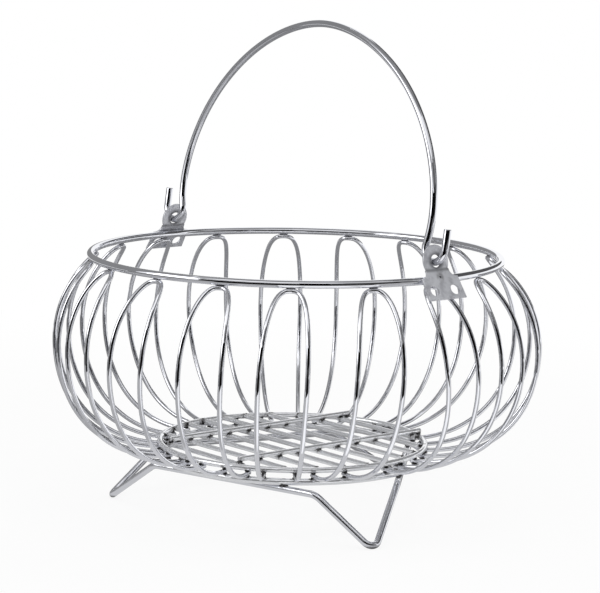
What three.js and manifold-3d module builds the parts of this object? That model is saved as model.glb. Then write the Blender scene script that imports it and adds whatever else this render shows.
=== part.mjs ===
// Wire fruit basket: a bowl of hairpin wires on three V feet, with a swinging bail handle.
// Millimetres, Z up. The origin is on the table under the middle of the bowl, and X runs
// from one handle pivot to the other.
import * as THREE from "three";
import { mergeVertices } from "three/addons/utils/BufferGeometryUtils.js";
import Module from "manifold-3d";

const wasm = await Module();
wasm.setup();

// Driving dimensions
const DEGREE = Math.PI / 180;
const SEAT_GAP = 0.15; // left between two wires that touch
const WIRE_SIDES = 8; // facets round a wire
const RIM_STEPS = 64; // facets along the rim
const RING_STEPS = 52; // facets along a base ring
const CUT_STEPS = 10; // facets along a curve of the sheet outline

const RIM = { radius: 120, height: 149.3, wire: 4.3 };

const BASE = {
  ringRadius: 78.4,
  upperWire: 3.4,
  lowerWire: 4,
  legHeight: 35, // centre of the loop legs where they lie between the two rings
};

const LOOP = {
  count: 18,
  wire: 2.7,
  arcRadiusIn: 78.5, // distance from the basket's axis at which a leg has turned level
  belly: 0.025, // share by which the lower half of the arc is fuller than a circle
  tipRun: 3, // level run of a leg past the end of its arc
  widestAt: 55, // measured along the leg from the crown
  halfWidth: 12.9,
  tipHalfWidth: 8.2,
  crownRoundness: 0.36, // lower is a flatter crown
  tipTaper: 1.5,
  turned: 1.7 * DEGREE, // the whole set, from the first pivot
  creep: 2.9 * DEGREE, // set out by eye, the loops lag on one side and lead on the other
  lagsMostAt: -53 * DEGREE,
  lopsided: 2, // how much further out than the mean the bowl bulges on its fullest side
  fullestAt: 50 * DEGREE,
};

// Loops that were welded on plainly out of line, counted from the first pivot: turned round the
// basket, skewed so that the crown is off to one side of the tips, and pinched with closer tips
const STRAYS = new Map([
  [0, { turn: 1.2 * DEGREE, skew: -13.9, pinch: 3.7 }],
  [1, { turn: -2.5 * DEGREE, skew: 0, pinch: 0 }],
  [3, { turn: 3 * DEGREE, skew: 0, pinch: 0 }],
  [4, { turn: 5.2 * DEGREE, skew: -8, pinch: 5.5 }],
  [5, { turn: 1.1 * DEGREE, skew: 0, pinch: 0 }],
  [6, { turn: -0.5 * DEGREE, skew: 0, pinch: 0 }],
  [7, { turn: -0.6 * DEGREE, skew: 0, pinch: 0 }],
  [8, { turn: -0.9 * DEGREE, skew: 6.5, pinch: 0 }],
  [9, { turn: 0, skew: 0, pinch: 5 }],
  [14, { turn: -0.7 * DEGREE, skew: 10.1, pinch: 2.5 }],
  [15, { turn: -0.2 * DEGREE, skew: 6.5, pinch: 1.2 }],
  [16, { turn: -1.6 * DEGREE, skew: 6.7, pinch: -0.6 }],
  [17, { turn: -0.7 * DEGREE, skew: 8.2, pinch: -1 }],
]);
const IN_LINE = { turn: 0, skew: 0, pinch: 0 };
const strayOf = (index) => STRAYS.get(index) ?? IN_LINE;

const FLOOR = {
  wires: 10,
  pitch: 14.6,
  wire: 2.8,
  ringClearance: 0.5,
  barWire: 3,
  barOffset: 32.5,
  barHalf: 69.5,
  barShift: 3, // towards +Y, where its end rests on the ring
};

const FEET = {
  count: 3,
  wire: 4,
  first: -16 * DEGREE, // direction of the first foot
  offCentre: 3, // the frame is welded on a little towards the first foot
  reach: 109, // from the frame's middle to a foot's tip
  runOffset: 64.5, // from the frame's middle to a straight run
  runHalf: 57.9, // half the length of a straight run between its bends
  runShift: 3.75, // how far each run lies round from the middle between its two feet
  runBend: 10,
  tipBend: 5,
  buttGap: 0.3, // between the wire's two ends
};

const BRACKET = {
  sheet: 1.2,
  foldAbove: 5.6, // height of the fold over the rim's centre
  flangeLean: 33 * DEGREE,
  flangeLength: 18.1,
  waistHalf: 8.4,
  shoulderHalf: 13.1,
  shoulderDrop: 4.7, // along the flange from the fold to the shoulder's corner
  footHalf: 13.8,
  screwHole: 6,
  screwPitch: 15,
  screwDrop: 12.75,
  lugLean: 14 * DEGREE,
  lugRadius: 9.1,
  lugWrap: 30 * DEGREE, // how far the lug's round comes back in below the pivot
  pivotHole: 7.2,
  pivotRise: 4.75, // along the lug from the fold to the pivot hole
};

const BAIL = {
  wire: 4.2,
  lean: -8.3 * DEGREE, // as it stands at rest, towards +Y
  halfSpan: 112.7, // at the springing of the arch
  springing: 24.2, // above the pivot
  rise: 102.3, // from the springing to the crown
  fullness: 1.87, // exponent of the arch, where 2 is an ellipse
  legCurlIn: 1.9, // how far a leg curls in between the springing and the hook
  hookTop: 9.4, // above the pivot, where the curl ends and the hook begins
  hookInnerBend: 7.2,
  hookOuterBend: 8.1,
  hookReach: 7.4, // outward from the pivot hole to the upright end
  hookHeight: 18.8,
  holePlay: 0.35, // where the hook lies against the pivot hole
  aside: -1, // it lies this far along Y from the middle of the hole
};

// Materials
const chrome = () => new THREE.MeshStandardMaterial({ color: 0xd9dbde, metalness: 1, roughness: 0.12 });
const dullSteel = () => new THREE.MeshStandardMaterial({ color: 0x9ea0a3, metalness: 1, roughness: 0.45 });

// A path given by its stations, so that a bend has many and a straight run only two.
class StationPath extends THREE.Curve {
  constructor(stations) {
    super();
    this.stations = stations;
  }

  getPointAt(share, target = new THREE.Vector3()) {
    const place = Math.round(share * (this.stations.length - 1));
    return target.copy(this.stations[place]);
  }

  getTangentAt(share, target = new THREE.Vector3()) {
    const last = this.stations.length - 1;
    const place = Math.round(share * last);
    const here = this.stations[place];
    const arriving = new THREE.Vector3();
    const leaving = new THREE.Vector3();
    if (place > 0) {
      arriving.subVectors(here, this.stations[place - 1]).normalize();
    }
    if (place < last) {
      leaving.subVectors(this.stations[place + 1], here).normalize();
    }
    return target.addVectors(arriving, leaving).normalize();
  }
}

function roundSection(diameter) {
  const corners = [];
  for (let i = 0; i < WIRE_SIDES; i += 1) {
    const turn = (i + 0.5) * ((2 * Math.PI) / WIRE_SIDES);
    corners.push(new THREE.Vector2(Math.cos(turn), Math.sin(turn)).multiplyScalar(diameter / 2));
  }
  return new THREE.Shape(corners);
}

function wireGeometry(stations, diameter) {
  return new THREE.ExtrudeGeometry(roundSection(diameter), {
    steps: stations.length - 1,
    bevelEnabled: false,
    extrudePath: new StationPath(stations),
  });
}

function piece(name, geometry, material) {
  const mesh = new THREE.Mesh(geometry, material);
  mesh.name = name;
  return mesh;
}

function ring(name, radius, diameter, height, steps, material) {
  const geometry = new THREE.TorusGeometry(radius, diameter / 2, WIRE_SIDES, steps);
  const mesh = piece(name, geometry, material);
  mesh.position.z = height;
  return mesh;
}

// The stations of one round bend, in the plane of the two runs that meet at the corner.
function bend(before, corner, after, radius, steps) {
  const back = new THREE.Vector3().subVectors(before, corner).normalize();
  const ahead = new THREE.Vector3().subVectors(after, corner).normalize();
  const half = back.angleTo(ahead) / 2;
  const middle = new THREE.Vector3().addVectors(back, ahead).normalize();
  const centre = corner.clone().addScaledVector(middle, radius / Math.sin(half));
  const start = corner.clone().addScaledVector(back, radius / Math.tan(half));
  const out = start.sub(centre).normalize();
  const along = back.clone().negate();
  const sweep = Math.PI - 2 * half;
  const stations = [];
  for (let i = 0; i <= steps; i += 1) {
    const turn = (sweep * i) / steps;
    const station = centre.clone().addScaledVector(out, radius * Math.cos(turn));
    stations.push(station.addScaledVector(along, radius * Math.sin(turn)));
  }
  return stations;
}

// Heights that follow from how the wires are stacked
const stack = (lower, upper) => (lower + upper) / 2 + SEAT_GAP;
const upperRingHeight = BASE.legHeight + stack(LOOP.wire, BASE.upperWire);
const lowerRingHeight = BASE.legHeight - stack(LOOP.wire, BASE.lowerWire);
const footRunHeight = lowerRingHeight - stack(BASE.lowerWire, FEET.wire);
const barHeight = upperRingHeight + stack(BASE.upperWire, FLOOR.barWire);
const floorHeight = barHeight - stack(FLOOR.barWire, FLOOR.wire);
const crownHeight = RIM.height - stack(RIM.wire, LOOP.wire);

// Hairpin loops: one arc in side view, from under the rim to the level of the base rings
const arcRun = RIM.radius - LOOP.arcRadiusIn;
const arcDrop = crownHeight - BASE.legHeight;
const arcRadius = (arcRun ** 2 + arcDrop ** 2) / (2 * arcDrop);
const arcHeight = BASE.legHeight + arcRadius;
const crownAngle = Math.atan2(crownHeight - arcHeight, arcRun);
const arcLength = arcRadius * (crownAngle + Math.PI / 2);
const legLength = arcLength + LOOP.tipRun;

function legHalfWidth(along) {
  if (along < LOOP.widestAt) {
    const toGo = 1 - along / LOOP.widestAt;
    return LOOP.halfWidth * (1 - toGo ** 2) ** LOOP.crownRoundness;
  }
  const past = (along - LOOP.widestAt) / (legLength - LOOP.widestAt);
  return LOOP.halfWidth - (LOOP.halfWidth - LOOP.tipHalfWidth) * past ** LOOP.tipTaper;
}

// One station of a loop that straddles the XZ plane; side is 1 or -1 for the two legs, bulge is the
// loop's own share of the lopsided bowl.
function legStation(along, side, stray, bulge) {
  const share = along / legLength;
  const sideways = side * (legHalfWidth(along) - stray.pinch * share) + stray.skew * (0.5 - share);
  if (along > arcLength) {
    return new THREE.Vector3(LOOP.arcRadiusIn - (along - arcLength), sideways, BASE.legHeight);
  }
  const turn = crownAngle - along / arcRadius;
  const fuller = turn < 0 ? LOOP.belly * Math.sin(2 * turn) ** 2 : 0;
  const radius = arcRadius * (1 + fuller);
  const bulged = bulge * Math.sin((Math.PI * along) / arcLength);
  const outward = LOOP.arcRadiusIn + radius * Math.cos(turn) + bulged;
  return new THREE.Vector3(outward, sideways, arcHeight + radius * Math.sin(turn));
}

function loopStations(stray, bulge) {
  const crownLength = 10;
  const crownSteps = 4;
  const crownBunching = 2.6; // brings the stations closer together towards the crown
  const legSteps = 11;
  const places = [];
  for (let i = 1; i <= crownSteps; i += 1) {
    places.push(crownLength * (i / crownSteps) ** crownBunching);
  }
  for (let i = 1; i <= legSteps; i += 1) {
    places.push(crownLength + ((legLength - crownLength) * i) / legSteps);
  }
  const near = places.map((along) => legStation(along, 1, stray, bulge)).reverse();
  const far = places.map((along) => legStation(along, -1, stray, bulge));
  return [...near, legStation(0, 1, stray, bulge), ...far];
}

function loopDirection(index) {
  const even = (index * 2 * Math.PI) / LOOP.count;
  return even + LOOP.turned - LOOP.creep * Math.cos(even - LOOP.lagsMostAt) + strayOf(index).turn;
}

function makeLoops() {
  const loops = [];
  for (let i = 0; i < LOOP.count; i += 1) {
    const number = String(i + 1).padStart(2, "0");
    const direction = loopDirection(i);
    const bulge = LOOP.lopsided * Math.cos(direction - LOOP.fullestAt);
    const stations = loopStations(strayOf(i), bulge);
    const loop = piece(`side_loop_${number}`, wireGeometry(stations, LOOP.wire), chrome());
    loop.rotation.z = direction;
    loops.push(loop);
  }
  return loops;
}

// Floor: straight wires hung under two bars that rest on the upper ring
function straightWire(name, middle, direction, halfLength, diameter) {
  const ends = [
    middle.clone().addScaledVector(direction, -halfLength),
    middle.clone().addScaledVector(direction, halfLength),
  ];
  return piece(name, wireGeometry(ends, diameter), chrome());
}

function makeFloor() {
  const pieces = [];
  const inside = BASE.ringRadius - BASE.upperWire / 2 - FLOOR.ringClearance;
  const alongX = new THREE.Vector3(1, 0, 0);
  const alongY = new THREE.Vector3(0, 1, 0);
  for (let i = 0; i < FLOOR.wires; i += 1) {
    const y = (i - (FLOOR.wires - 1) / 2) * FLOOR.pitch;
    const outerEdge = Math.abs(y) + FLOOR.wire / 2;
    const half = Math.sqrt(inside ** 2 - outerEdge ** 2);
    const name = `floor_wire_${String(i + 1).padStart(2, "0")}`;
    pieces.push(straightWire(name, new THREE.Vector3(0, y, floorHeight), alongX, half, FLOOR.wire));
  }
  for (const [name, x] of [["cross_bar_front", FLOOR.barOffset], ["cross_bar_rear", -FLOOR.barOffset]]) {
    const middle = new THREE.Vector3(x, FLOOR.barShift, barHeight);
    pieces.push(straightWire(name, middle, alongY, FLOOR.barHalf, FLOOR.barWire));
  }
  return pieces;
}

// Foot frame: one wire bent into three V feet, with a straight run between each pair
// The corner that a V foot's two arms point at: both arms touch the tip's round, which stands on the table.
function tipCorner(armA, armB, tip) {
  const level = armB.clone().sub(armA);
  const span = level.length();
  level.normalize();
  const reach = tip.clone().sub(armA);
  const shareA = reach.dot(level);
  const out = reach.addScaledVector(level, -shareA);
  const depth = out.length() - FEET.tipBend;
  const slope = (share) => {
    const lean = Math.asin(FEET.tipBend / Math.hypot(depth, share));
    return Math.tan(Math.atan2(depth, share) + lean);
  };
  const slopeA = slope(shareA);
  const slopeB = slope(span - shareA);
  const along = (span * slopeB) / (slopeA + slopeB);
  return armA.clone().addScaledVector(level, along).addScaledVector(out.normalize(), along * slopeA);
}

// The corner where the straight run on one side of a foot turns into that foot's arm.
function runCorner(direction, side) {
  const square = direction + (side * Math.PI) / FEET.count;
  const out = new THREE.Vector3(Math.cos(square), Math.sin(square), 0);
  const along = new THREE.Vector3(-Math.sin(square), Math.cos(square), 0);
  const corner = out.multiplyScalar(FEET.runOffset);
  corner.addScaledVector(along, FEET.runShift - side * FEET.runHalf);
  corner.z = footRunHeight;
  return corner;
}

function makeFootFrame() {
  const bendSteps = 4;
  const tipSteps = 6;
  const corners = [];
  for (let i = 0; i < FEET.count; i += 1) {
    const direction = FEET.first - (i * 2 * Math.PI) / FEET.count;
    const tip = new THREE.Vector3(Math.cos(direction), Math.sin(direction), 0).multiplyScalar(FEET.reach);
    tip.z = FEET.wire / 2;
    const arriving = runCorner(direction, 1);
    const leaving = runCorner(direction, -1);
    corners.push({ at: arriving, radius: FEET.runBend, steps: bendSteps });
    corners.push({ at: tipCorner(arriving, leaving, tip), radius: FEET.tipBend, steps: tipSteps });
    corners.push({ at: leaving, radius: FEET.runBend, steps: bendSteps });
  }
  const first = corners[0].at;
  const last = corners[corners.length - 1].at;
  const butt = first.clone().add(last).multiplyScalar(0.5);
  const runDirection = first.clone().sub(last).normalize();
  const start = butt.clone().addScaledVector(runDirection, FEET.buttGap / 2);
  const end = butt.clone().addScaledVector(runDirection, -FEET.buttGap / 2);
  const stations = [start];
  corners.forEach(({ at, radius, steps }, i) => {
    const before = i === 0 ? start : corners[i - 1].at;
    const after = i === corners.length - 1 ? end : corners[i + 1].at;
    stations.push(...bend(before, at, after, radius, steps));
  });
  stations.push(end);
  const geometry = wireGeometry(stations, FEET.wire);
  geometry.computeBoundingBox();
  const frame = piece("foot_frame", geometry, chrome());
  frame.position.set(Math.cos(FEET.first), Math.sin(FEET.first), 0).multiplyScalar(FEET.offCentre);
  frame.position.z = -geometry.boundingBox.min.z;
  return frame;
}

// Pivot brackets: sheet folded once, the flange against the rim and the lug upright
const foldHeight = RIM.height + BRACKET.foldAbove;
const flangeOff = RIM.wire / 2 + SEAT_GAP + BRACKET.sheet / 2;
const foldOut =
  RIM.radius +
  (flangeOff - BRACKET.foldAbove * Math.sin(BRACKET.flangeLean)) / Math.cos(BRACKET.flangeLean);
const pivotHeight = foldHeight + BRACKET.pivotRise * Math.cos(BRACKET.lugLean);
const pivotOut = foldOut - BRACKET.pivotRise * Math.sin(BRACKET.lugLean);

function hole(shape, x, y, diameter) {
  const path = new THREE.Path();
  path.absarc(x, y, diameter / 2, 0, 2 * Math.PI, true);
  shape.holes.push(path);
}

function flangeShape() {
  const b = BRACKET;
  const shape = new THREE.Shape();
  shape.moveTo(-b.waistHalf, 0);
  shape.quadraticCurveTo(-b.waistHalf, -b.shoulderDrop, -b.shoulderHalf, -b.shoulderDrop);
  shape.lineTo(-b.footHalf, -b.flangeLength);
  shape.lineTo(b.footHalf, -b.flangeLength);
  shape.lineTo(b.shoulderHalf, -b.shoulderDrop);
  shape.quadraticCurveTo(b.waistHalf, -b.shoulderDrop, b.waistHalf, 0);
  shape.closePath();
  hole(shape, -b.screwPitch / 2, -b.screwDrop, b.screwHole);
  hole(shape, b.screwPitch / 2, -b.screwDrop, b.screwHole);
  return shape;
}

function lugShape() {
  const b = BRACKET;
  const shape = new THREE.Shape();
  shape.moveTo(b.waistHalf, 0);
  shape.absarc(0, b.pivotRise, b.lugRadius, -b.lugWrap, Math.PI + b.lugWrap, false);
  shape.lineTo(-b.waistHalf, 0);
  shape.closePath();
  hole(shape, 0, b.pivotRise, b.pivotHole);
  return shape;
}

// A sheet outline stood on the fold line, leaning in by the given angle, as a solid.
function leaningSheet(shape, lean) {
  const geometry = new THREE.ExtrudeGeometry(shape, {
    depth: BRACKET.sheet,
    bevelEnabled: false,
    curveSegments: CUT_STEPS,
  });
  geometry.translate(0, 0, -BRACKET.sheet / 2);
  const across = new THREE.Vector3(0, 1, 0);
  const up = new THREE.Vector3(-Math.sin(lean), 0, Math.cos(lean));
  const outward = new THREE.Vector3().crossVectors(across, up);
  geometry.applyMatrix4(new THREE.Matrix4().makeBasis(across, up, outward));
  return solid(geometry);
}

function solid(geometry) {
  geometry.deleteAttribute("normal");
  geometry.deleteAttribute("uv");
  const merged = mergeVertices(geometry, 1e-4);
  const vertProperties = new Float32Array(merged.attributes.position.array);
  const triVerts = new Uint32Array(merged.index.array);
  return new wasm.Manifold(new wasm.Mesh({ numProp: 3, vertProperties, triVerts }));
}

function geometryOf(made) {
  const mesh = made.getMesh();
  const geometry = new THREE.BufferGeometry();
  geometry.setAttribute("position", new THREE.BufferAttribute(mesh.vertProperties, 3));
  geometry.setIndex(new THREE.BufferAttribute(mesh.triVerts, 1));
  geometry.computeVertexNormals();
  return geometry;
}

function makeBracket(name, turn) {
  const round = BRACKET.sheet / 2;
  const fold = new THREE.CylinderGeometry(round, round, 2 * BRACKET.waistHalf, CUT_STEPS);
  const flange = leaningSheet(flangeShape(), BRACKET.flangeLean);
  const lug = leaningSheet(lugShape(), BRACKET.lugLean);
  const geometry = geometryOf(flange.add(lug).add(solid(fold)));
  geometry.translate(foldOut, 0, foldHeight);
  const bracket = piece(name, geometry, dullSteel());
  bracket.rotation.z = turn;
  return bracket;
}

// Bail handle: an arch on two legs that curl in, each end hooked out through its pivot hole
const bailLoose = (BRACKET.pivotHole - BAIL.wire) / 2 - BAIL.holePlay;
const bailPivotHeight = pivotHeight - Math.sqrt(bailLoose ** 2 - BAIL.aside ** 2);

// The stations of the +X half, from the hook's tip to just short of the crown.
function bailHalf() {
  const archSteps = 18;
  const curlSteps = 3;
  const hookSteps = 6;
  const curlDrop = BAIL.springing - BAIL.hookTop;
  const curl = 2 * Math.atan2(BAIL.legCurlIn, curlDrop);
  const curlRadius = curlDrop / Math.sin(curl);
  const curlEnd = new THREE.Vector3(BAIL.halfSpan - BAIL.legCurlIn, 0, BAIL.hookTop);
  const innerCorner = new THREE.Vector3(curlEnd.x - BAIL.hookTop * Math.tan(curl), 0, 0);
  const outerCorner = new THREE.Vector3(pivotOut + BAIL.hookReach, 0, 0);
  const tip = new THREE.Vector3(outerCorner.x, 0, BAIL.hookHeight);
  const stations = [tip];
  stations.push(...bend(tip, outerCorner, innerCorner, BAIL.hookOuterBend, hookSteps));
  stations.push(...bend(outerCorner, innerCorner, curlEnd, BAIL.hookInnerBend, hookSteps));
  for (let i = curlSteps; i > 0; i -= 1) {
    const turn = (curl * i) / curlSteps;
    const inward = curlRadius * (1 - Math.cos(turn));
    const down = curlRadius * Math.sin(turn);
    stations.push(new THREE.Vector3(BAIL.halfSpan - inward, 0, BAIL.springing - down));
  }
  for (let i = 0; i < archSteps; i += 1) {
    const turn = ((Math.PI / 2) * i) / archSteps;
    const across = BAIL.halfSpan * Math.cos(turn) ** (2 / BAIL.fullness);
    const up = BAIL.rise * Math.sin(turn) ** (2 / BAIL.fullness);
    stations.push(new THREE.Vector3(across, 0, BAIL.springing + up));
  }
  return stations;
}

function makeBail() {
  const right = bailHalf();
  const crown = new THREE.Vector3(0, 0, BAIL.springing + BAIL.rise);
  const left = right.map((station) => new THREE.Vector3(-station.x, 0, station.z)).reverse();
  const bail = piece("bail_handle", wireGeometry([...right, crown, ...left], BAIL.wire), chrome());
  bail.rotation.x = BAIL.lean;
  bail.position.set(0, BAIL.aside, bailPivotHeight);
  return bail;
}

// Assembly
const basket = new THREE.Group();
basket.name = "wire_fruit_basket";
basket.add(ring("rim_ring", RIM.radius, RIM.wire, RIM.height, RIM_STEPS, chrome()));
basket.add(ring("base_ring_upper", BASE.ringRadius, BASE.upperWire, upperRingHeight, RING_STEPS, chrome()));
basket.add(ring("base_ring_lower", BASE.ringRadius, BASE.lowerWire, lowerRingHeight, RING_STEPS, chrome()));
basket.add(...makeLoops());
basket.add(...makeFloor());
basket.add(makeFootFrame());
basket.add(makeBracket("pivot_bracket_front", 0));
basket.add(makeBracket("pivot_bracket_rear", Math.PI));
basket.add(makeBail());

export default basket;
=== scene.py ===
"""Wire fruit basket: smooth plated wires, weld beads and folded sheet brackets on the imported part.

Sizes are in millimetres, as a wire worker would mark them. A mesh is turned into metres as it is made.
Z is up, and X runs from one handle pivot to the other.
"""
import logging
import math
from dataclasses import dataclass, field
from enum import Enum

import bmesh
import bpy
from mathutils import Matrix, Vector, noise
from mathutils.kdtree import KDTree


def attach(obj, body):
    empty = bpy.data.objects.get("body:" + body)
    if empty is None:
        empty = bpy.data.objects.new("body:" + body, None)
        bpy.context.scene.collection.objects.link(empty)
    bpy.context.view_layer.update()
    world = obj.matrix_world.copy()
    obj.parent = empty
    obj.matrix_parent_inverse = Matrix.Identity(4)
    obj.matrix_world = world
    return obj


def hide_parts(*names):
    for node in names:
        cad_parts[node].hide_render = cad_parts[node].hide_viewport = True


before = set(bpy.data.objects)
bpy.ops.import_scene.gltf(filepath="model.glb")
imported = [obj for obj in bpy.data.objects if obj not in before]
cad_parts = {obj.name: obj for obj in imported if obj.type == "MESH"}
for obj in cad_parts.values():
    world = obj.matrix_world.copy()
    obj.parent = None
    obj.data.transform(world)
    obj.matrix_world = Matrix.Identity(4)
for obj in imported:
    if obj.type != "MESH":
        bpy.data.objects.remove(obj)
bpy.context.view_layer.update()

LOG = logging.getLogger("fruit_basket")
MM = 0.001
SEAT_GAP = 0.15
HEAT_REACH = 3.4
HEAT_NAME = "weld_heat"
WIRE_PLACE = "along_wire"

Colour = tuple[float, float, float]
UP = Vector((0.0, 0.0, 1.0))


class Body(Enum):
    """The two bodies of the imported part."""

    BASKET = "basket"
    BAIL = "bail"


class WireEnd(Enum):
    """How a wire's path ends."""

    JOINED = "joined"
    CUT = "cut"


class Side(Enum):
    """The two handle pivots, as the sign of their X."""

    FRONT = 1
    REAR = -1


def stacked(lower: float, upper: float) -> float:
    """Height between the middles of two wires that lie on each other, from their diameters."""
    return (lower + upper) / 2 + SEAT_GAP


def level_direction(turn: float) -> Vector:
    """Unit vector in the XY plane, turned from +X by an angle in radians."""
    return Vector((math.cos(turn), math.sin(turn), 0.0))


def circle_stations(radius: float, height: float, count: int) -> list[Vector]:
    """Stations evenly round a level circle about the basket's axis.

    Args:
        radius: radius of the circle.
        height: height of the circle above the table.
        count: number of stations.

    Returns:
        The stations in order, the last one short of the first.
    """
    stations = []
    for i in range(count):
        stations.append(level_direction(2 * math.pi * i / count) * radius + UP * height)
    return stations


def bend_stations(before: Vector, corner: Vector, after: Vector, radius: float, steps: int) -> list[Vector]:
    """Stations of one round bend between two straight runs.

    Args:
        before: a point on the run that arrives.
        corner: where the two runs would meet.
        after: a point on the run that leaves.
        radius: radius of the bend at the middle of the wire.
        steps: number of steps along the bend.

    Returns:
        The stations from the start of the bend to its end.
    """
    back = (before - corner).normalized()
    ahead = (after - corner).normalized()
    half = back.angle(ahead) / 2
    centre = corner + (back + ahead).normalized() * (radius / math.sin(half))
    out = (corner + back * (radius / math.tan(half)) - centre).normalized()
    sweep = math.pi - 2 * half
    stations = []
    for i in range(steps + 1):
        turn = sweep * i / steps
        stations.append(centre + (out * math.cos(turn) - back * math.sin(turn)) * radius)
    return stations


@dataclass(frozen=True)
class BeadSize:
    """Half sizes of a weld bead: along its joint, across it, and out of it."""

    length: float
    width: float
    depth: float


@dataclass
class Weld:
    """One weld bead: where it is, which way it runs and stands out, and how large it is."""

    place: Vector
    along: Vector
    out: Vector
    size: BeadSize


class HeatMap:
    """How close a point is to the nearest weld, for the dark heat marks."""

    def __init__(self, welds: list[Weld], reach: float) -> None:
        """Files the welds for quick finding.

        Args:
            welds: all welds of the basket.
            reach: distance over which a heat mark fades.
        """
        self.reach = reach
        self.tree = KDTree(len(welds))
        for i, weld in enumerate(welds):
            self.tree.insert(weld.place, i)
        self.tree.balance()

    def at(self, point: Vector) -> float:
        """Heat mark at a point, 1 at a weld and 0 far away."""
        _, _, distance = self.tree.find(point)
        return math.exp(-((distance / self.reach) ** 2))


@dataclass
class RoundWire:
    """A drawn round wire that is swept along a path."""

    diameter: float
    sides: int = 18
    cut_edge: float = 0.4
    cut_steps: int = 4

    def rings(self, stations: list[Vector], end: WireEnd) -> list[tuple[Vector, Vector, float]]:
        """Middle, direction and radius of every ring of the wire's skin.

        Args:
            stations: the path of the wire's middle.
            end: whether the path closes on itself or is cut at both ends.

        Returns:
            One (middle, direction, radius) for each ring. A cut end gets rings for its rounded edge.
        """
        radius = self.diameter / 2
        joined = end is WireEnd.JOINED
        last = len(stations) - 1
        rings = []
        for i, here in enumerate(stations):
            before = stations[i - 1] if i > 0 or joined else here
            after = stations[(i + 1) % len(stations)] if i < last or joined else here
            arriving = (here - before).normalized()
            leaving = (after - here).normalized()
            rings.append((here, (arriving + leaving).normalized(), radius))
        if joined:
            return rings
        edge = []
        for i in range(self.cut_steps + 1):
            lean = math.pi / 2 * i / self.cut_steps
            inset = self.cut_edge * (1 - math.cos(lean))
            edge.append((inset, radius - self.cut_edge * (1 - math.sin(lean))))
        tip, tip_way, _ = rings[0]
        tail, tail_way, _ = rings[-1]
        opening = [(tip + tip_way * inset, tip_way, size) for inset, size in edge]
        closing = [(tail - tail_way * inset, tail_way, size) for inset, size in reversed(edge)]
        return opening + rings[1:-1] + closing

    def piece(self, name: str, stations: list[Vector], end: WireEnd, heat: HeatMap) -> bpy.types.Object:
        """Sweeps the wire into a mesh object.

        Args:
            name: name of the new piece.
            stations: the path of the wire's middle, in millimetres.
            end: whether the path closes on itself or is cut at both ends.
            heat: heat marks of the welds.

        Returns:
            The new object. Its texture map has the place along the wire, an attribute the heat marks.
        """
        rings = self.rings(stations, end)
        points, lengths = self._skin(rings)
        faces, places = self._faces(len(rings), end, lengths)
        mesh = bpy.data.meshes.new(name)
        mesh.from_pydata([point * MM for point in points], [], faces)
        layer = mesh.uv_layers.new(name=WIRE_PLACE)
        layer.data.foreach_set("uv", [value for place in places for value in place])
        marks = mesh.attributes.new(HEAT_NAME, "FLOAT", "POINT")
        marks.data.foreach_set("value", [heat.at(point) for point in points])
        mesh.shade_smooth()
        return new_object(name, mesh)

    def _skin(self, rings: list[tuple[Vector, Vector, float]]) -> tuple[list[Vector], list[float]]:
        """Points round every ring, and each ring's length along the wire.

        Args:
            rings: middle, direction and radius of every ring.

        Returns:
            All points, ring by ring, and the length at each ring with the way back to the first at the end.
        """
        points = []
        lengths = [0.0]
        across = rings[0][1].orthogonal().normalized()
        for i, (middle, way, radius) in enumerate(rings):
            across = (across - way * across.dot(way)).normalized()
            third = way.cross(across)
            for j in range(self.sides):
                turn = 2 * math.pi * j / self.sides
                points.append(middle + (across * math.cos(turn) + third * math.sin(turn)) * radius)
            following = rings[(i + 1) % len(rings)][0]
            lengths.append(lengths[-1] + (following - middle).length)
        return points, lengths

    def _faces(
        self, count: int, end: WireEnd, lengths: list[float]
    ) -> tuple[list[tuple[int, ...]], list[tuple[float, float]]]:
        """Faces of the skin and their places round and along the wire.

        Args:
            count: number of rings.
            end: whether the last ring joins the first.
            lengths: length along the wire at each ring.

        Returns:
            The faces, and one (round, along) place in millimetres for each corner of each face.
        """
        faces = []
        places = []
        step = math.pi * self.diameter / self.sides
        spans = count if end is WireEnd.JOINED else count - 1
        for i in range(spans):
            here = i * self.sides
            there = (i + 1) % count * self.sides
            for j in range(self.sides):
                k = (j + 1) % self.sides
                faces.append((here + j, here + k, there + k, there + j))
                places.append((j * step, lengths[i]))
                places.append(((j + 1) * step, lengths[i]))
                places.append(((j + 1) * step, lengths[i + 1]))
                places.append((j * step, lengths[i + 1]))
        if end is WireEnd.CUT:
            last = (count - 1) * self.sides
            faces.append(tuple(reversed(range(self.sides))))
            faces.append(tuple(range(last, last + self.sides)))
            places += [(j * step, lengths[0]) for j in range(2 * self.sides)]
        return faces, places


def new_object(name: str, mesh: bpy.types.Mesh) -> bpy.types.Object:
    """Puts a mesh into the scene.

    Args:
        name: name of the new object.
        mesh: its mesh.

    Returns:
        The new object.
    """
    made = bpy.data.objects.new(name, mesh)
    bpy.context.scene.collection.objects.link(made)
    return made


def dress(
    piece: bpy.types.Object, finish: bpy.types.Material, body: Body, nodes: list[str]
) -> None:
    """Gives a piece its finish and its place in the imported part.

    Args:
        piece: the piece, already where it belongs.
        finish: its material.
        body: the body that it moves with.
        nodes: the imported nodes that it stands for, which may be none.
    """
    piece.data.materials.append(finish)
    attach(piece, body.value)
    if nodes:
        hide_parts(*nodes)
    LOG.info("%s: %d faces, rides %s", piece.name, len(piece.data.polygons), body.value)


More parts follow.
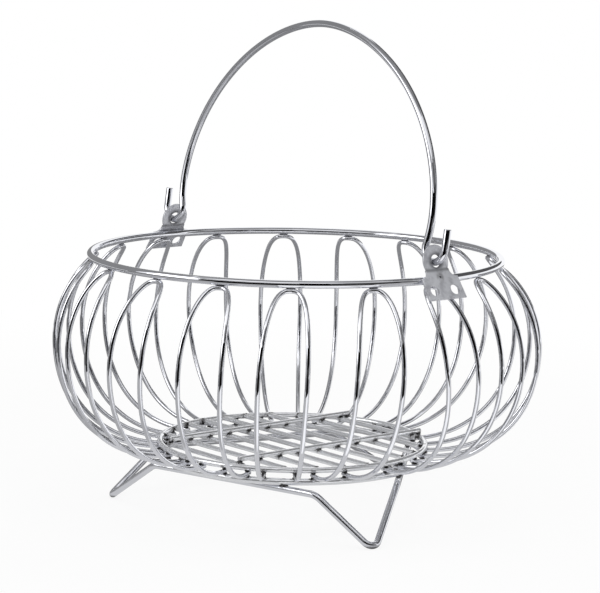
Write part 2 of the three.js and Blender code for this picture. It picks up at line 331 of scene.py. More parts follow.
class Nodes:
    """Short ways to lay out a shader tree."""

    def __init__(self, tree: bpy.types.NodeTree) -> None:
        """Keeps the tree to lay out."""
        self.tree = tree

    def add(self, kind: str, **settings: object) -> bpy.types.Node:
        """Adds a node and sets its properties.

        Args:
            kind: Blender's name of the node type.
            **settings: properties of the node.

        Returns:
            The new node.
        """
        node = self.tree.nodes.new(kind)
        for name, value in settings.items():
            setattr(node, name, value)
        return node

    def join(self, source: bpy.types.NodeSocket, target: bpy.types.NodeSocket) -> None:
        """Links an output to an input."""
        self.tree.links.new(source, target)

    def feed(self, target: bpy.types.NodeSocket, value: object) -> None:
        """Links a socket to an input, or sets the input to a plain value.

        Args:
            target: the input.
            value: a socket or a plain value.
        """
        if isinstance(value, bpy.types.NodeSocket):
            self.join(value, target)
        else:
            target.default_value = value

    def maths(
        self, operation: str, first: object, second: object = 0.0, clamp: bool = False
    ) -> bpy.types.NodeSocket:
        """Adds a calculation on two values.

        Args:
            operation: name of the operation.
            first: a socket or a number.
            second: a socket or a number.
            clamp: whether the result is kept between 0 and 1.

        Returns:
            The socket of the result.
        """
        node = self.add("ShaderNodeMath", operation=operation, use_clamp=clamp)
        self.feed(node.inputs[0], first)
        self.feed(node.inputs[1], second)
        return node.outputs[0]

    def ramp(
        self, value: object, low: float, high: float, start: float = 0.0, end: float = 1.0
    ) -> bpy.types.NodeSocket:
        """Maps a value smoothly from one range to another.

        Args:
            value: a socket or a number.
            low: value that gives start.
            high: value that gives end.
            start: result at low and below.
            end: result at high and above.

        Returns:
            The socket of the result.
        """
        node = self.add("ShaderNodeMapRange", interpolation_type="SMOOTHSTEP")
        for name, number in (("From Min", low), ("From Max", high), ("To Min", start), ("To Max", end)):
            node.inputs[name].default_value = number
        self.feed(node.inputs["Value"], value)
        return node.outputs["Result"]

    def blend(self, share: object, first: object, second: object) -> bpy.types.NodeSocket:
        """Mixes two colours.

        Args:
            share: share of the second colour, a socket or a number.
            first: a colour socket or a plain colour.
            second: a colour socket or a plain colour.

        Returns:
            The socket of the mixed colour.
        """
        node = self.add("ShaderNodeMix", data_type="RGBA")
        self.feed(node.inputs["Factor"], share)
        self.feed(node.inputs["A"], first if isinstance(first, bpy.types.NodeSocket) else (*first, 1.0))
        self.feed(node.inputs["B"], second if isinstance(second, bpy.types.NodeSocket) else (*second, 1.0))
        return node.outputs["Result"]

    def noise(self, place: bpy.types.NodeSocket, scale: object, detail: float) -> bpy.types.NodeSocket:
        """Adds an even noise.

        Args:
            place: where on the surface.
            scale: how many patches there are to a unit, a socket or a number.
            detail: how many finer layers it has.

        Returns:
            The socket of the noise value.
        """
        node = self.add("ShaderNodeTexNoise")
        node.inputs["Detail"].default_value = detail
        self.feed(node.inputs["Scale"], scale)
        self.join(place, node.inputs["Vector"])
        return node.outputs["Fac"]

    def patches(
        self, place: bpy.types.NodeSocket, size: bpy.types.NodeSocket, detail: float
    ) -> bpy.types.NodeSocket:
        """Adds a noise whose patches are of a given size."""
        return self.noise(place, self.maths("DIVIDE", 1.0, size), detail)

    def distance(self, place: bpy.types.NodeSocket, spot: Vector) -> bpy.types.NodeSocket:
        """Adds the distance from a spot.

        Args:
            place: where on the surface.
            spot: the spot, in millimetres.

        Returns:
            The socket of the distance in metres.
        """
        node = self.add("ShaderNodeVectorMath", operation="DISTANCE")
        self.join(place, node.inputs[0])
        node.inputs[1].default_value = spot * MM
        return node.outputs["Value"]

    def height(self, place: bpy.types.NodeSocket) -> bpy.types.NodeSocket:
        """Adds the height of a place on the surface.

        Args:
            place: where on the surface.

        Returns:
            The socket of the height in metres.
        """
        node = self.add("ShaderNodeSeparateXYZ")
        self.join(place, node.inputs["Vector"])
        return node.outputs["Z"]


class Socket(Enum):
    """Kinds of socket on a node group."""

    NUMBER = "NodeSocketFloat"
    VECTOR = "NodeSocketVector"
    COLOUR = "NodeSocketColor"


class SharedEffects:
    """The shader node groups that more than one finish uses."""

    STRAW: Colour = (0.62, 0.57, 0.50)
    SOOT: Colour = (0.05, 0.045, 0.045)

    def __init__(self) -> None:
        """Makes every group once."""
        self.drawn_lines = self._drawn_lines()
        self.plating_haze = self._plating_haze()
        self.weld_stain = self._weld_stain()

    def _group(
        self, name: str, inputs: dict[str, Socket], outputs: dict[str, Socket]
    ) -> tuple[bpy.types.NodeTree, Nodes, bpy.types.Node, bpy.types.Node]:
        """Starts a node group.

        Args:
            name: name of the group.
            inputs: its inputs and their kinds.
            outputs: its outputs and their kinds.

        Returns:
            The group, its layout helper, and its input and output nodes.
        """
        tree = bpy.data.node_groups.new(name, "ShaderNodeTree")
        for label, kind in inputs.items():
            tree.interface.new_socket(label, in_out="INPUT", socket_type=kind.value)
        for label, kind in outputs.items():
            tree.interface.new_socket(label, in_out="OUTPUT", socket_type=kind.value)
        nodes = Nodes(tree)
        return tree, nodes, nodes.add("NodeGroupInput"), nodes.add("NodeGroupOutput")

    def _drawn_lines(self) -> bpy.types.NodeTree:
        """Makes the fine lines that run along a drawn wire, from the place round and along it.

        Returns:
            The node group.
        """
        tree, nodes, given, result = self._group(
            "drawn_lines",
            {"Place": Socket.VECTOR, "Lines per mm": Socket.NUMBER, "Length": Socket.NUMBER},
            {"Lines": Socket.NUMBER},
        )
        stretch = nodes.add("ShaderNodeCombineXYZ")
        nodes.join(given.outputs["Lines per mm"], stretch.inputs["X"])
        nodes.join(nodes.maths("DIVIDE", 1.0, given.outputs["Length"]), stretch.inputs["Y"])
        placed = nodes.add("ShaderNodeVectorMath", operation="MULTIPLY")
        nodes.join(given.outputs["Place"], placed.inputs[0])
        nodes.join(stretch.outputs["Vector"], placed.inputs[1])
        nodes.join(nodes.noise(placed.outputs["Vector"], scale=1.0, detail=3.0), result.inputs["Lines"])
        return tree

    def _plating_haze(self) -> bpy.types.NodeTree:
        """Makes the cloudy dull patches and small pits of worn plating.

        Returns:
            The node group.
        """
        tree, nodes, given, result = self._group(
            "plating_haze",
            {"Place": Socket.VECTOR, "Patch size": Socket.NUMBER, "Pit size": Socket.NUMBER},
            {"Haze": Socket.NUMBER, "Pits": Socket.NUMBER},
        )
        place = given.outputs["Place"]
        clouds = nodes.patches(place, given.outputs["Patch size"], detail=4.0)
        nodes.join(nodes.ramp(clouds, low=0.42, high=0.7), result.inputs["Haze"])
        specks = nodes.patches(place, given.outputs["Pit size"], detail=2.0)
        nodes.join(nodes.ramp(specks, low=0.66, high=0.74), result.inputs["Pits"])
        return tree

    def _weld_stain(self) -> bpy.types.NodeTree:
        """Makes the sooty mark and straw-brown tint round a weld, from how close the weld is.

        Returns:
            The node group.
        """
        tree, nodes, given, result = self._group(
            "weld_stain",
            {"Heat": Socket.NUMBER, "Place": Socket.VECTOR, "Patch size": Socket.NUMBER},
            {"Soot": Socket.NUMBER, "Tint": Socket.COLOUR},
        )
        grain = nodes.patches(given.outputs["Place"], given.outputs["Patch size"], detail=5.0)
        uneven = nodes.ramp(grain, low=0.3, high=0.65, start=0.55, end=1.25)
        ragged = nodes.maths("MULTIPLY", given.outputs["Heat"], uneven)
        nodes.join(nodes.ramp(ragged, low=0.35, high=0.95), result.inputs["Soot"])
        burnt = nodes.ramp(ragged, low=0.1, high=0.8)
        nodes.join(nodes.blend(burnt, self.STRAW, self.SOOT), result.inputs["Tint"])
        return tree


def place_group(nodes: Nodes, tree: bpy.types.NodeTree, values: dict[str, object]) -> bpy.types.Node:
    """Places a node group in a material.

    Args:
        nodes: layout helper of the material.
        tree: the group.
        values: a socket or a plain value for each input.

    Returns:
        The group node.
    """
    node = nodes.add("ShaderNodeGroup", node_tree=tree)
    for label, value in values.items():
        nodes.feed(node.inputs[label], value)
    return node


def new_finish(name: str) -> tuple[bpy.types.Material, Nodes, bpy.types.Node]:
    """Starts a material.

    Args:
        name: name of the material.

    Returns:
        The material, its layout helper and its main shader.
    """
    material = bpy.data.materials.new(name)
    material.use_nodes = True
    return material, Nodes(material.node_tree), material.node_tree.nodes["Principled BSDF"]


@dataclass(frozen=True)
class PlatedWire:
    """Bright plating on drawn wire, hazy in patches, sooty at the welds with the soot partly painted shade,
    and darkened at the bottom as a painted contact shadow where it stands on the table.

    Patches and pits are in metres. Drawing lines and the height of the painted contact shadow are in
    millimetres. The painted contact shadow is full up to the given share of its height.
    """

    name: str
    bright: Colour
    dull: Colour
    roughness: float
    haze_roughness: float
    haze: float
    # Strength of the dark weld marks: soot, made stronger as painted shade in the gaps where wires meet.
    soot: float
    soot_roughness: float = 0.4
    patch_size: float = 0.02
    pit_size: float = 0.0012
    lines_per_mm: float = 9.0
    line_length: float = 60.0
    line_strength: float = 0.012
    line_depth: float = 0.1
    metallic: float = 1.0
    # Strength of the painted contact shadow at the bottom of the wire.
    contact_shadow: float = 0.0
    contact_shadow_height: float = 1.0
    contact_shadow_full: float = 0.4
    # Colour of the painted contact shadow.
    dirt_and_shade: Colour = (0.03, 0.03, 0.033)

    def contact_shadow_mask(self, nodes: Nodes, place: bpy.types.NodeSocket) -> bpy.types.NodeSocket:
        """Marks the painted contact shadow at the bottom of the wire, where it stands on the table, fading
        out up to its height.
        """
        top = self.contact_shadow_height * MM
        return nodes.ramp(nodes.height(place), self.contact_shadow_full * top, top, self.contact_shadow, 0.0)

    def material(self, shared: SharedEffects) -> bpy.types.Material:
        """Builds the finish.

        Args:
            shared: the node groups shared by the finishes.

        Returns:
            The material.
        """
        material, nodes, skin = new_finish(self.name)
        skin.inputs["Metallic"].default_value = self.metallic
        place = nodes.add("ShaderNodeTexCoord").outputs["Object"]
        along = nodes.add("ShaderNodeUVMap", uv_map=WIRE_PLACE).outputs["UV"]
        heat = nodes.add("ShaderNodeAttribute", attribute_name=HEAT_NAME).outputs["Fac"]
        worn = place_group(
            nodes,
            shared.plating_haze,
            {"Place": place, "Patch size": self.patch_size, "Pit size": self.pit_size},
        )
        stain = place_group(
            nodes, shared.weld_stain, {"Heat": heat, "Place": place, "Patch size": self.pit_size}
        )
        lines = place_group(
            nodes,
            shared.drawn_lines,
            {"Place": along, "Lines per mm": self.lines_per_mm, "Length": self.line_length},
        )
        hazy = nodes.maths("MULTIPLY", worn.outputs["Haze"], self.haze)
        pitted = nodes.maths("MULTIPLY", worn.outputs["Pits"], self.haze, clamp=True)
        # Weld soot, partly painted shade in the gaps where wires meet.
        sooty = nodes.maths("MULTIPLY", stain.outputs["Soot"], self.soot)
        plated = nodes.blend(nodes.maths("MAXIMUM", hazy, pitted), self.bright, self.dull)
        colour = nodes.blend(sooty, plated, stain.outputs["Tint"])
        # Painted contact shadow: the bottom of the wire turns dark, rougher and unmetallic, standing in for
        # the shade where it stands on the table.
        if self.contact_shadow > 0.0:
            painted_shade = self.contact_shadow_mask(nodes, place)
            colour = nodes.blend(painted_shade, colour, self.dirt_and_shade)
            sooty = nodes.maths("MAXIMUM", sooty, painted_shade)
            nodes.join(nodes.ramp(painted_shade, 0.0, 1.0, self.metallic, 0.0), skin.inputs["Metallic"])
        nodes.join(colour, skin.inputs["Base Color"])
        rough = nodes.ramp(hazy, 0.0, 1.0, self.roughness, self.haze_roughness)
        crusted = nodes.maths("MULTIPLY", sooty, self.soot_roughness)
        nodes.join(nodes.maths("ADD", rough, crusted), skin.inputs["Roughness"])
        bump = nodes.add("ShaderNodeBump")
        bump.inputs["Strength"].default_value = self.line_strength
        bump.inputs["Distance"].default_value = self.line_depth * MM
        nodes.join(lines.outputs["Lines"], bump.inputs["Height"])
        nodes.join(bump.outputs["Normal"], skin.inputs["Normal"])
        return material


@dataclass(frozen=True)
class SheetMarks:
    """Where the spot weld, pivot hole and fold of the +X bracket are, in millimetres."""

    weld: Vector
    pivot: Vector
    hole: float
    fold_height: float


@dataclass(frozen=True)
class MottledSheet:
    """Dull sheet steel with cloudy patches, one spot weld pressed through it, and painted shade round the
    pivot hole and along the fold.

    Patches and pits are in metres, and every reach and depth is in millimetres.
    """

    name: str
    pale: Colour
    dark: Colour
    roughness: float
    patch_roughness: float
    patch_size: float
    patch_height: float
    pit_size: float
    metallic: float
    weld_heat: float
    weld_reach: float
    weld_soot: float
    soot_size: float
    dent_reach: float
    dent_depth: float
    dent_strength: float
    # Colour of the painted shade, and of the weld dent's dark middle.
    dirt_and_shade: Colour
    # Strength and reach of the painted shade round the pivot hole and along the fold.
    pivot_shade: float
    pivot_shade_reach: float
    fold_shade: float
    fold_reach: float

    def painted_shade_mask(
        self, nodes: Nodes, place: bpy.types.NodeSocket, marks: SheetMarks
    ) -> bpy.types.NodeSocket:
        """Marks the painted shade round the pivot hole, where the hook shades the lug, and the painted shade
        along the fold.

        Args:
            nodes: the material's nodes.
            place: the point on the sheet.
            marks: where the hole and the fold are.

        Returns:
            A mask, 0 where the sheet has no painted shade.
        """
        edge = marks.hole / 2 * MM
        off_pivot = nodes.distance(place, marks.pivot)
        painted_shade = nodes.ramp(off_pivot, edge, edge + self.pivot_shade_reach * MM, self.pivot_shade, 0.0)
        above = nodes.maths("SUBTRACT", nodes.height(place), marks.fold_height * MM)
        off_fold = nodes.maths("ABSOLUTE", above)
        folded = nodes.ramp(off_fold, 0.0, self.fold_reach * MM, self.fold_shade, 0.0)
        return nodes.maths("MAXIMUM", painted_shade, folded)

    def material(self, shared: SharedEffects, marks: SheetMarks) -> bpy.types.Material:
        """Builds the finish for both brackets, whose marks mirror each other.

        Args:
            shared: the node groups shared by the finishes.
            marks: where the weld, the hole and the fold are.

        Returns:
            The material.
        """
        material, nodes, skin = new_finish(self.name)
        skin.inputs["Metallic"].default_value = self.metallic
        place = nodes.add("ShaderNodeTexCoord").outputs["Object"]
        mirror = nodes.add("ShaderNodeVectorMath", operation="ABSOLUTE")
        nodes.join(place, mirror.inputs[0])
        either = mirror.outputs["Vector"]
        off_weld = nodes.distance(either, marks.weld)
        heat = nodes.ramp(off_weld, 0.0, self.weld_reach * MM, self.weld_heat, 0.0)
        worn = place_group(
            nodes,
            shared.plating_haze,
            {"Place": place, "Patch size": self.patch_size, "Pit size": self.pit_size},
        )
        stain = place_group(
            nodes, shared.weld_stain, {"Heat": heat, "Place": place, "Patch size": self.soot_size}
        )
        mottled = nodes.maths("ADD", worn.outputs["Haze"], worn.outputs["Pits"], clamp=True)
        steel = nodes.blend(mottled, self.pale, self.dark)
        sooty = nodes.maths("MULTIPLY", stain.outputs["Soot"], self.weld_soot)
        stained = nodes.blend(sooty, steel, stain.outputs["Tint"])
        # Painted shade: darker round the pivot hole and in a band along the fold.
        shaded_steel = nodes.blend(self.painted_shade_mask(nodes, either, marks), stained, self.dirt_and_shade)
        dent = nodes.ramp(off_weld, self.dent_reach / 2 * MM, self.dent_reach * MM, 1.0, 0.0)
        nodes.join(nodes.blend(dent, shaded_steel, self.dirt_and_shade), skin.inputs["Base Color"])
        rough = nodes.ramp(mottled, 0.0, 1.0, self.roughness, self.patch_roughness)
        nodes.join(rough, skin.inputs["Roughness"])
        bump = nodes.add("ShaderNodeBump")
        bump.inputs["Strength"].default_value = self.dent_strength
        bump.inputs["Distance"].default_value = self.dent_depth * MM
        raised = nodes.maths("SUBTRACT", nodes.maths("MULTIPLY", mottled, self.patch_height), dent)
        nodes.join(raised, bump.inputs["Height"])
        nodes.join(bump.outputs["Normal"], skin.inputs["Normal"])
        return material


@dataclass(frozen=True)
class WeldMetal:
    """Dark, rough bead left by a spot weld, its darkness partly painted shade in the joint."""

    name: str
    clean: Colour
    burnt: Colour
    roughness: float
    burnt_roughness: float
    patch_size: float
    heat: float

    def material(self, shared: SharedEffects) -> bpy.types.Material:
        """Builds the finish.

        Args:
            shared: the node groups shared by the finishes.

        Returns:
            The material.
        """
        material, nodes, skin = new_finish(self.name)
        skin.inputs["Metallic"].default_value = 1.0
        place = nodes.add("ShaderNodeTexCoord").outputs["Object"]
        stain = place_group(
            nodes, shared.weld_stain, {"Heat": self.heat, "Place": place, "Patch size": self.patch_size}
        )
        soot = stain.outputs["Soot"]
        nodes.join(nodes.blend(soot, self.clean, self.burnt), skin.inputs["Base Color"])
        rough = nodes.ramp(soot, 0.0, 1.0, self.roughness, self.burnt_roughness)
        nodes.join(rough, skin.inputs["Roughness"])
        return material


@dataclass
class RimRing:
    """The round rim, one wire bent to a ring."""

    radius: float = 120.0
    height: float = 149.3
    wire: float = 4.3
    steps: int = 240
    sides: int = 20

    def build(self, heat: HeatMap, finish: bpy.types.Material) -> None:
        """Makes the rim.

        Args:
            heat: heat marks of the welds.
            finish: its material.
        """
        stations = circle_stations(self.radius, self.height, self.steps)
        wire = RoundWire(self.wire, self.sides)
        piece = wire.piece("rim_wire_ring", stations, WireEnd.JOINED, heat)
        dress(piece, finish, Body.BASKET, ["rim_ring"])


@dataclass(frozen=True)
class Stray:
    """How far a loop was welded on out of line."""

    degrees: float = 0.0
    skew: float = 0.0
    pinch: float = 0.0

    @property
    def turn(self) -> float:
        """Its turn round the basket in radians."""
        return math.radians(self.degrees)


@dataclass
class SideLoops:
    """The hairpin loops that make the bowl, crowns under the rim and tips between the base rings."""

    rim: RimRing
    count: int = 18
    wire: float = 2.7
    tip_height: float = 35.0
    arc_in: float = 78.5
    belly: float = 0.025
    tip_run: float = 3.0
    widest_at: float = 55.0
    half_width: float = 12.9
    tip_half_width: float = 8.2
    crown_roundness: float = 0.36
    tip_taper: float = 1.5
    turned: float = math.radians(1.7)
    creep: float = math.radians(2.9)
    lags_most_at: float = math.radians(-53)
    lopsided: float = 2.0
    fullest_at: float = math.radians(50)
    crown_length: float = 12.0
    crown_bunching: float = 2.6
    crown_bead: BeadSize = BeadSize(2.8, 0.6, 0.45)
    tip_bead: BeadSize = BeadSize(1.7, 1.5, 0.75)
    sides: int = 16
    crown_steps: int = 16
    leg_steps: int = 44
    strays: dict[int, Stray] = field(
        default_factory=lambda: {
            0: Stray(degrees=1.2, skew=-13.9, pinch=3.7),
            1: Stray(degrees=-2.5),
            3: Stray(degrees=3.0),
            4: Stray(degrees=5.2, skew=-8.0, pinch=5.5),
            5: Stray(degrees=1.1),
            6: Stray(degrees=-0.5),
            7: Stray(degrees=-0.6),
            8: Stray(degrees=-0.9, skew=6.5),
            9: Stray(pinch=5.0),
            14: Stray(degrees=-0.7, skew=10.1, pinch=2.5),
            15: Stray(degrees=-0.2, skew=6.5, pinch=1.2),
            16: Stray(degrees=-1.6, skew=6.7, pinch=-0.6),
            17: Stray(degrees=-0.7, skew=8.2, pinch=-1.0),
        }
    )

    def __post_init__(self) -> None:
        """Works out the arc of a leg from the crown and the tip."""
        self.crown_height = self.rim.height - stacked(self.rim.wire, self.wire)
        run = self.rim.radius - self.arc_in
        drop = self.crown_height - self.tip_height
        self.arc_radius = (run**2 + drop**2) / (2 * drop)
        self.arc_height = self.tip_height + self.arc_radius
        self.crown_angle = math.atan2(self.crown_height - self.arc_height, run)
        self.arc_length = self.arc_radius * (self.crown_angle + math.pi / 2)
        self.leg_length = self.arc_length + self.tip_run

    def stray(self, index: int) -> Stray:
        """How far out of line a loop is, by its number from the first pivot."""
        return self.strays.get(index, Stray())

    def direction(self, index: int) -> float:
        """Angle from +X at which a loop stands."""
        even = 2 * math.pi * index / self.count
        return even + self.turned - self.creep * math.cos(even - self.lags_most_at) + self.stray(index).turn

    def bulge(self, index: int) -> float:
        """How much further out than the mean a loop of the lopsided bowl bulges."""
        return self.lopsided * math.cos(self.direction(index) - self.fullest_at)

    def leg_half_width(self, along: float) -> float:
        """Half the width of a loop that is in line.

        Args:
            along: length along the leg from the crown.

        Returns:
            The distance from the loop's middle to its leg.
        """
        if along < self.widest_at:
            return self.half_width * (1 - (1 - along / self.widest_at) ** 2) ** self.crown_roundness
        past = (along - self.widest_at) / (self.leg_length - self.widest_at)
        return self.half_width - (self.half_width - self.tip_half_width) * past**self.tip_taper

    def leg_station(self, along: float, side: int, index: int) -> Vector:
        """One station of a loop that straddles the XZ plane.

        Args:
            along: length along the leg from the crown.
            side: 1 or -1 for the two legs.
            index: number of the loop from the first pivot.

        Returns:
            The station.
        """
        stray = self.stray(index)
        share = along / self.leg_length
        sideways = side * (self.leg_half_width(along) - stray.pinch * share) + stray.skew * (0.5 - share)
        if along > self.arc_length:
            return Vector((self.arc_in - (along - self.arc_length), sideways, self.tip_height))
        turn = self.crown_angle - along / self.arc_radius
        fuller = self.belly * math.sin(2 * turn) ** 2 if turn < 0 else 0.0
        radius = self.arc_radius * (1 + fuller)
        bulged = self.bulge(index) * math.sin(math.pi * along / self.arc_length)
        outward = self.arc_in + radius * math.cos(turn) + bulged
        return Vector((outward, sideways, self.arc_height + radius * math.sin(turn)))

    def stations(self, index: int) -> list[Vector]:
        """Stations of one loop in its place.

        Args:
            index: number of the loop from the first pivot.

        Returns:
            The stations from one tip over the crown to the other.
        """
        places = []
        for i in range(1, self.crown_steps + 1):
            places.append(self.crown_length * (i / self.crown_steps) ** self.crown_bunching)
        rest = self.leg_length - self.crown_length
        for i in range(1, self.leg_steps + 1):
            places.append(self.crown_length + rest * i / self.leg_steps)
        near = [self.leg_station(along, 1, index) for along in reversed(places)]
        crown = self.leg_station(0.0, 1, index)
        far = [self.leg_station(along, -1, index) for along in places]
        turned = Matrix.Rotation(self.direction(index), 3, "Z")
        return [turned @ station for station in [*near, crown, *far]]

    def build(self, heat: HeatMap, finish: bpy.types.Material) -> None:
        """Makes every loop.

        Args:
            heat: heat marks of the welds.
            finish: their material.
        """
        wire = RoundWire(self.wire, self.sides)
        for index in range(self.count):
            number = f"{index + 1:02d}"
            piece = wire.piece(f"hairpin_loop_{number}", self.stations(index), WireEnd.CUT, heat)
            dress(piece, finish, Body.BASKET, [f"side_loop_{number}"])

    def crown_welds(self) -> list[Weld]:
        """Places the bead between each crown and the rim.

        Returns:
            One bead for each loop.
        """
        welds = []
        for index in range(self.count):
            turned = Matrix.Rotation(self.direction(index), 3, "Z")
            contact = self.crown_height + (self.wire + SEAT_GAP) / 2
            place = turned @ Vector((self.rim.radius, self.stray(index).skew / 2, contact))
            welds.append(Weld(place, turned @ Vector((0, 1, 0)), UP, self.crown_bead))
        return welds

    def tip_welds(self, ring_radius: float) -> list[Weld]:
        """Places the beads between every leg tip and the two base rings.

        Args:
            ring_radius: radius of the base rings.

        Returns:
            The beads above and below each leg.
        """
        welds = []
        for index in range(self.count):
            turned = Matrix.Rotation(self.direction(index), 3, "Z")
            stray = self.stray(index)
            for side in (1, -1):
                sideways = side * (self.tip_half_width - stray.pinch) - stray.skew / 2
                outward = math.sqrt(ring_radius**2 - sideways**2)
                for lift in (1, -1):
                    height = self.tip_height + lift * (self.wire + SEAT_GAP) / 2
                    place = turned @ Vector((outward, sideways, height))
                    welds.append(Weld(place, turned @ Vector((1, 0, 0)), UP, self.tip_bead))
        return welds


@dataclass
class BaseGrid:
    """Two base rings with the leg tips between them, and the floor wires under two cross bars."""

    loops: SideLoops
    ring_radius: float = 78.4
    upper_wire: float = 3.4
    lower_wire: float = 4.0
    floor_count: int = 10
    floor_pitch: float = 14.6
    floor_wire: float = 2.8
    ring_clearance: float = 0.5
    bar_wire: float = 3.0
    bar_offset: float = 32.5
    bar_half: float = 69.5
    bar_shift: float = 3.0
    crossing_bead: BeadSize = BeadSize(1.75, 1.6, 0.8)
    floor_end_bead: BeadSize = BeadSize(1.3, 1.0, 0.9)
    ring_steps: int = 180
    straight_steps: int = 24

    def __post_init__(self) -> None:
        """Works out the heights from how the wires are stacked."""
        self.upper_height = self.loops.tip_height + stacked(self.loops.wire, self.upper_wire)
        self.lower_height = self.loops.tip_height - stacked(self.loops.wire, self.lower_wire)
        self.bar_height = self.upper_height + stacked(self.upper_wire, self.bar_wire)
        self.floor_height = self.bar_height - stacked(self.bar_wire, self.floor_wire)

    def floor_y(self, index: int) -> float:
        """Y of a floor wire."""
        return (index - (self.floor_count - 1) / 2) * self.floor_pitch

    def floor_half(self, index: int) -> float:
        """Works out how far a floor wire reaches, which ends just short of the upper ring.

        Args:
            index: number of the floor wire.

        Returns:
            Half its length.
        """
        inside = self.ring_radius - self.upper_wire / 2 - self.ring_clearance
        outer_edge = abs(self.floor_y(index)) + self.floor_wire / 2
        return math.sqrt(inside**2 - outer_edge**2)

    def straight(self, middle: Vector, way: Vector, half: float) -> list[Vector]:
        """Stations of a straight wire, close enough to carry heat marks.

        Args:
            middle: middle of the wire.
            way: unit vector along it.
            half: half its length.

        Returns:
            The stations from one end to the other.
        """
        stations = []
        for i in range(self.straight_steps * 2 + 1):
            stations.append(middle + way * (half * (i / self.straight_steps - 1)))
        return stations

    def build(self, heat: HeatMap, finish: bpy.types.Material) -> None:
        """Makes the rings, the floor wires and the bars.

        Args:
            heat: heat marks of the welds.
            finish: their material.
        """
        for name, wire, height, node in (
            ("upper_base_wire", self.upper_wire, self.upper_height, "base_ring_upper"),
            ("lower_base_wire", self.lower_wire, self.lower_height, "base_ring_lower"),
        ):
            stations = circle_stations(self.ring_radius, height, self.ring_steps)
            piece = RoundWire(wire).piece(name, stations, WireEnd.JOINED, heat)
            dress(piece, finish, Body.BASKET, [node])
        rod = RoundWire(self.floor_wire)
        for index in range(self.floor_count):
            middle = Vector((0, self.floor_y(index), self.floor_height))
            stations = self.straight(middle, Vector((1, 0, 0)), self.floor_half(index))
            number = f"{index + 1:02d}"
            piece = rod.piece(f"floor_rod_{number}", stations, WireEnd.CUT, heat)
            dress(piece, finish, Body.BASKET, [f"floor_wire_{number}"])
        bar = RoundWire(self.bar_wire)
        for side in Side:
            middle = Vector((side.value * self.bar_offset, self.bar_shift, self.bar_height))
            stations = self.straight(middle, Vector((0, 1, 0)), self.bar_half)
            name = side.name.lower()
            piece = bar.piece(f"floor_bar_{name}", stations, WireEnd.CUT, heat)
            dress(piece, finish, Body.BASKET, [f"cross_bar_{name}"])

    def welds(self) -> list[Weld]:
        """Places the beads of the floor.

        Returns:
            The beads where the bars cross the floor wires and rest on the ring, and where the floor wires
            meet the ring.
        """
        found = []
        contact = self.bar_height - (self.bar_wire + SEAT_GAP) / 2
        ring_y = math.sqrt(self.ring_radius**2 - self.bar_offset**2)
        crossings = [self.floor_y(index) for index in range(self.floor_count)] + [ring_y]
        for side in Side:
            for y in crossings:
                place = Vector((side.value * self.bar_offset, y, contact))
                found.append(Weld(place, Vector((0, 1, 0)), UP, self.crossing_bead))
        seam = self.ring_radius - self.upper_wire / 2
        for index in range(self.floor_count):
            y = self.floor_y(index)
            nearest = math.copysign(self.floor_wire / 3, y)
            corner = Vector((self.floor_half(index), y + nearest, 0))
            for side in Side:
                way = Vector((side.value * corner.x, corner.y, 0)).normalized()
                place = way * seam + UP * self.floor_height
                found.append(Weld(place, way.cross(UP), way, self.floor_end_bead))
        return found


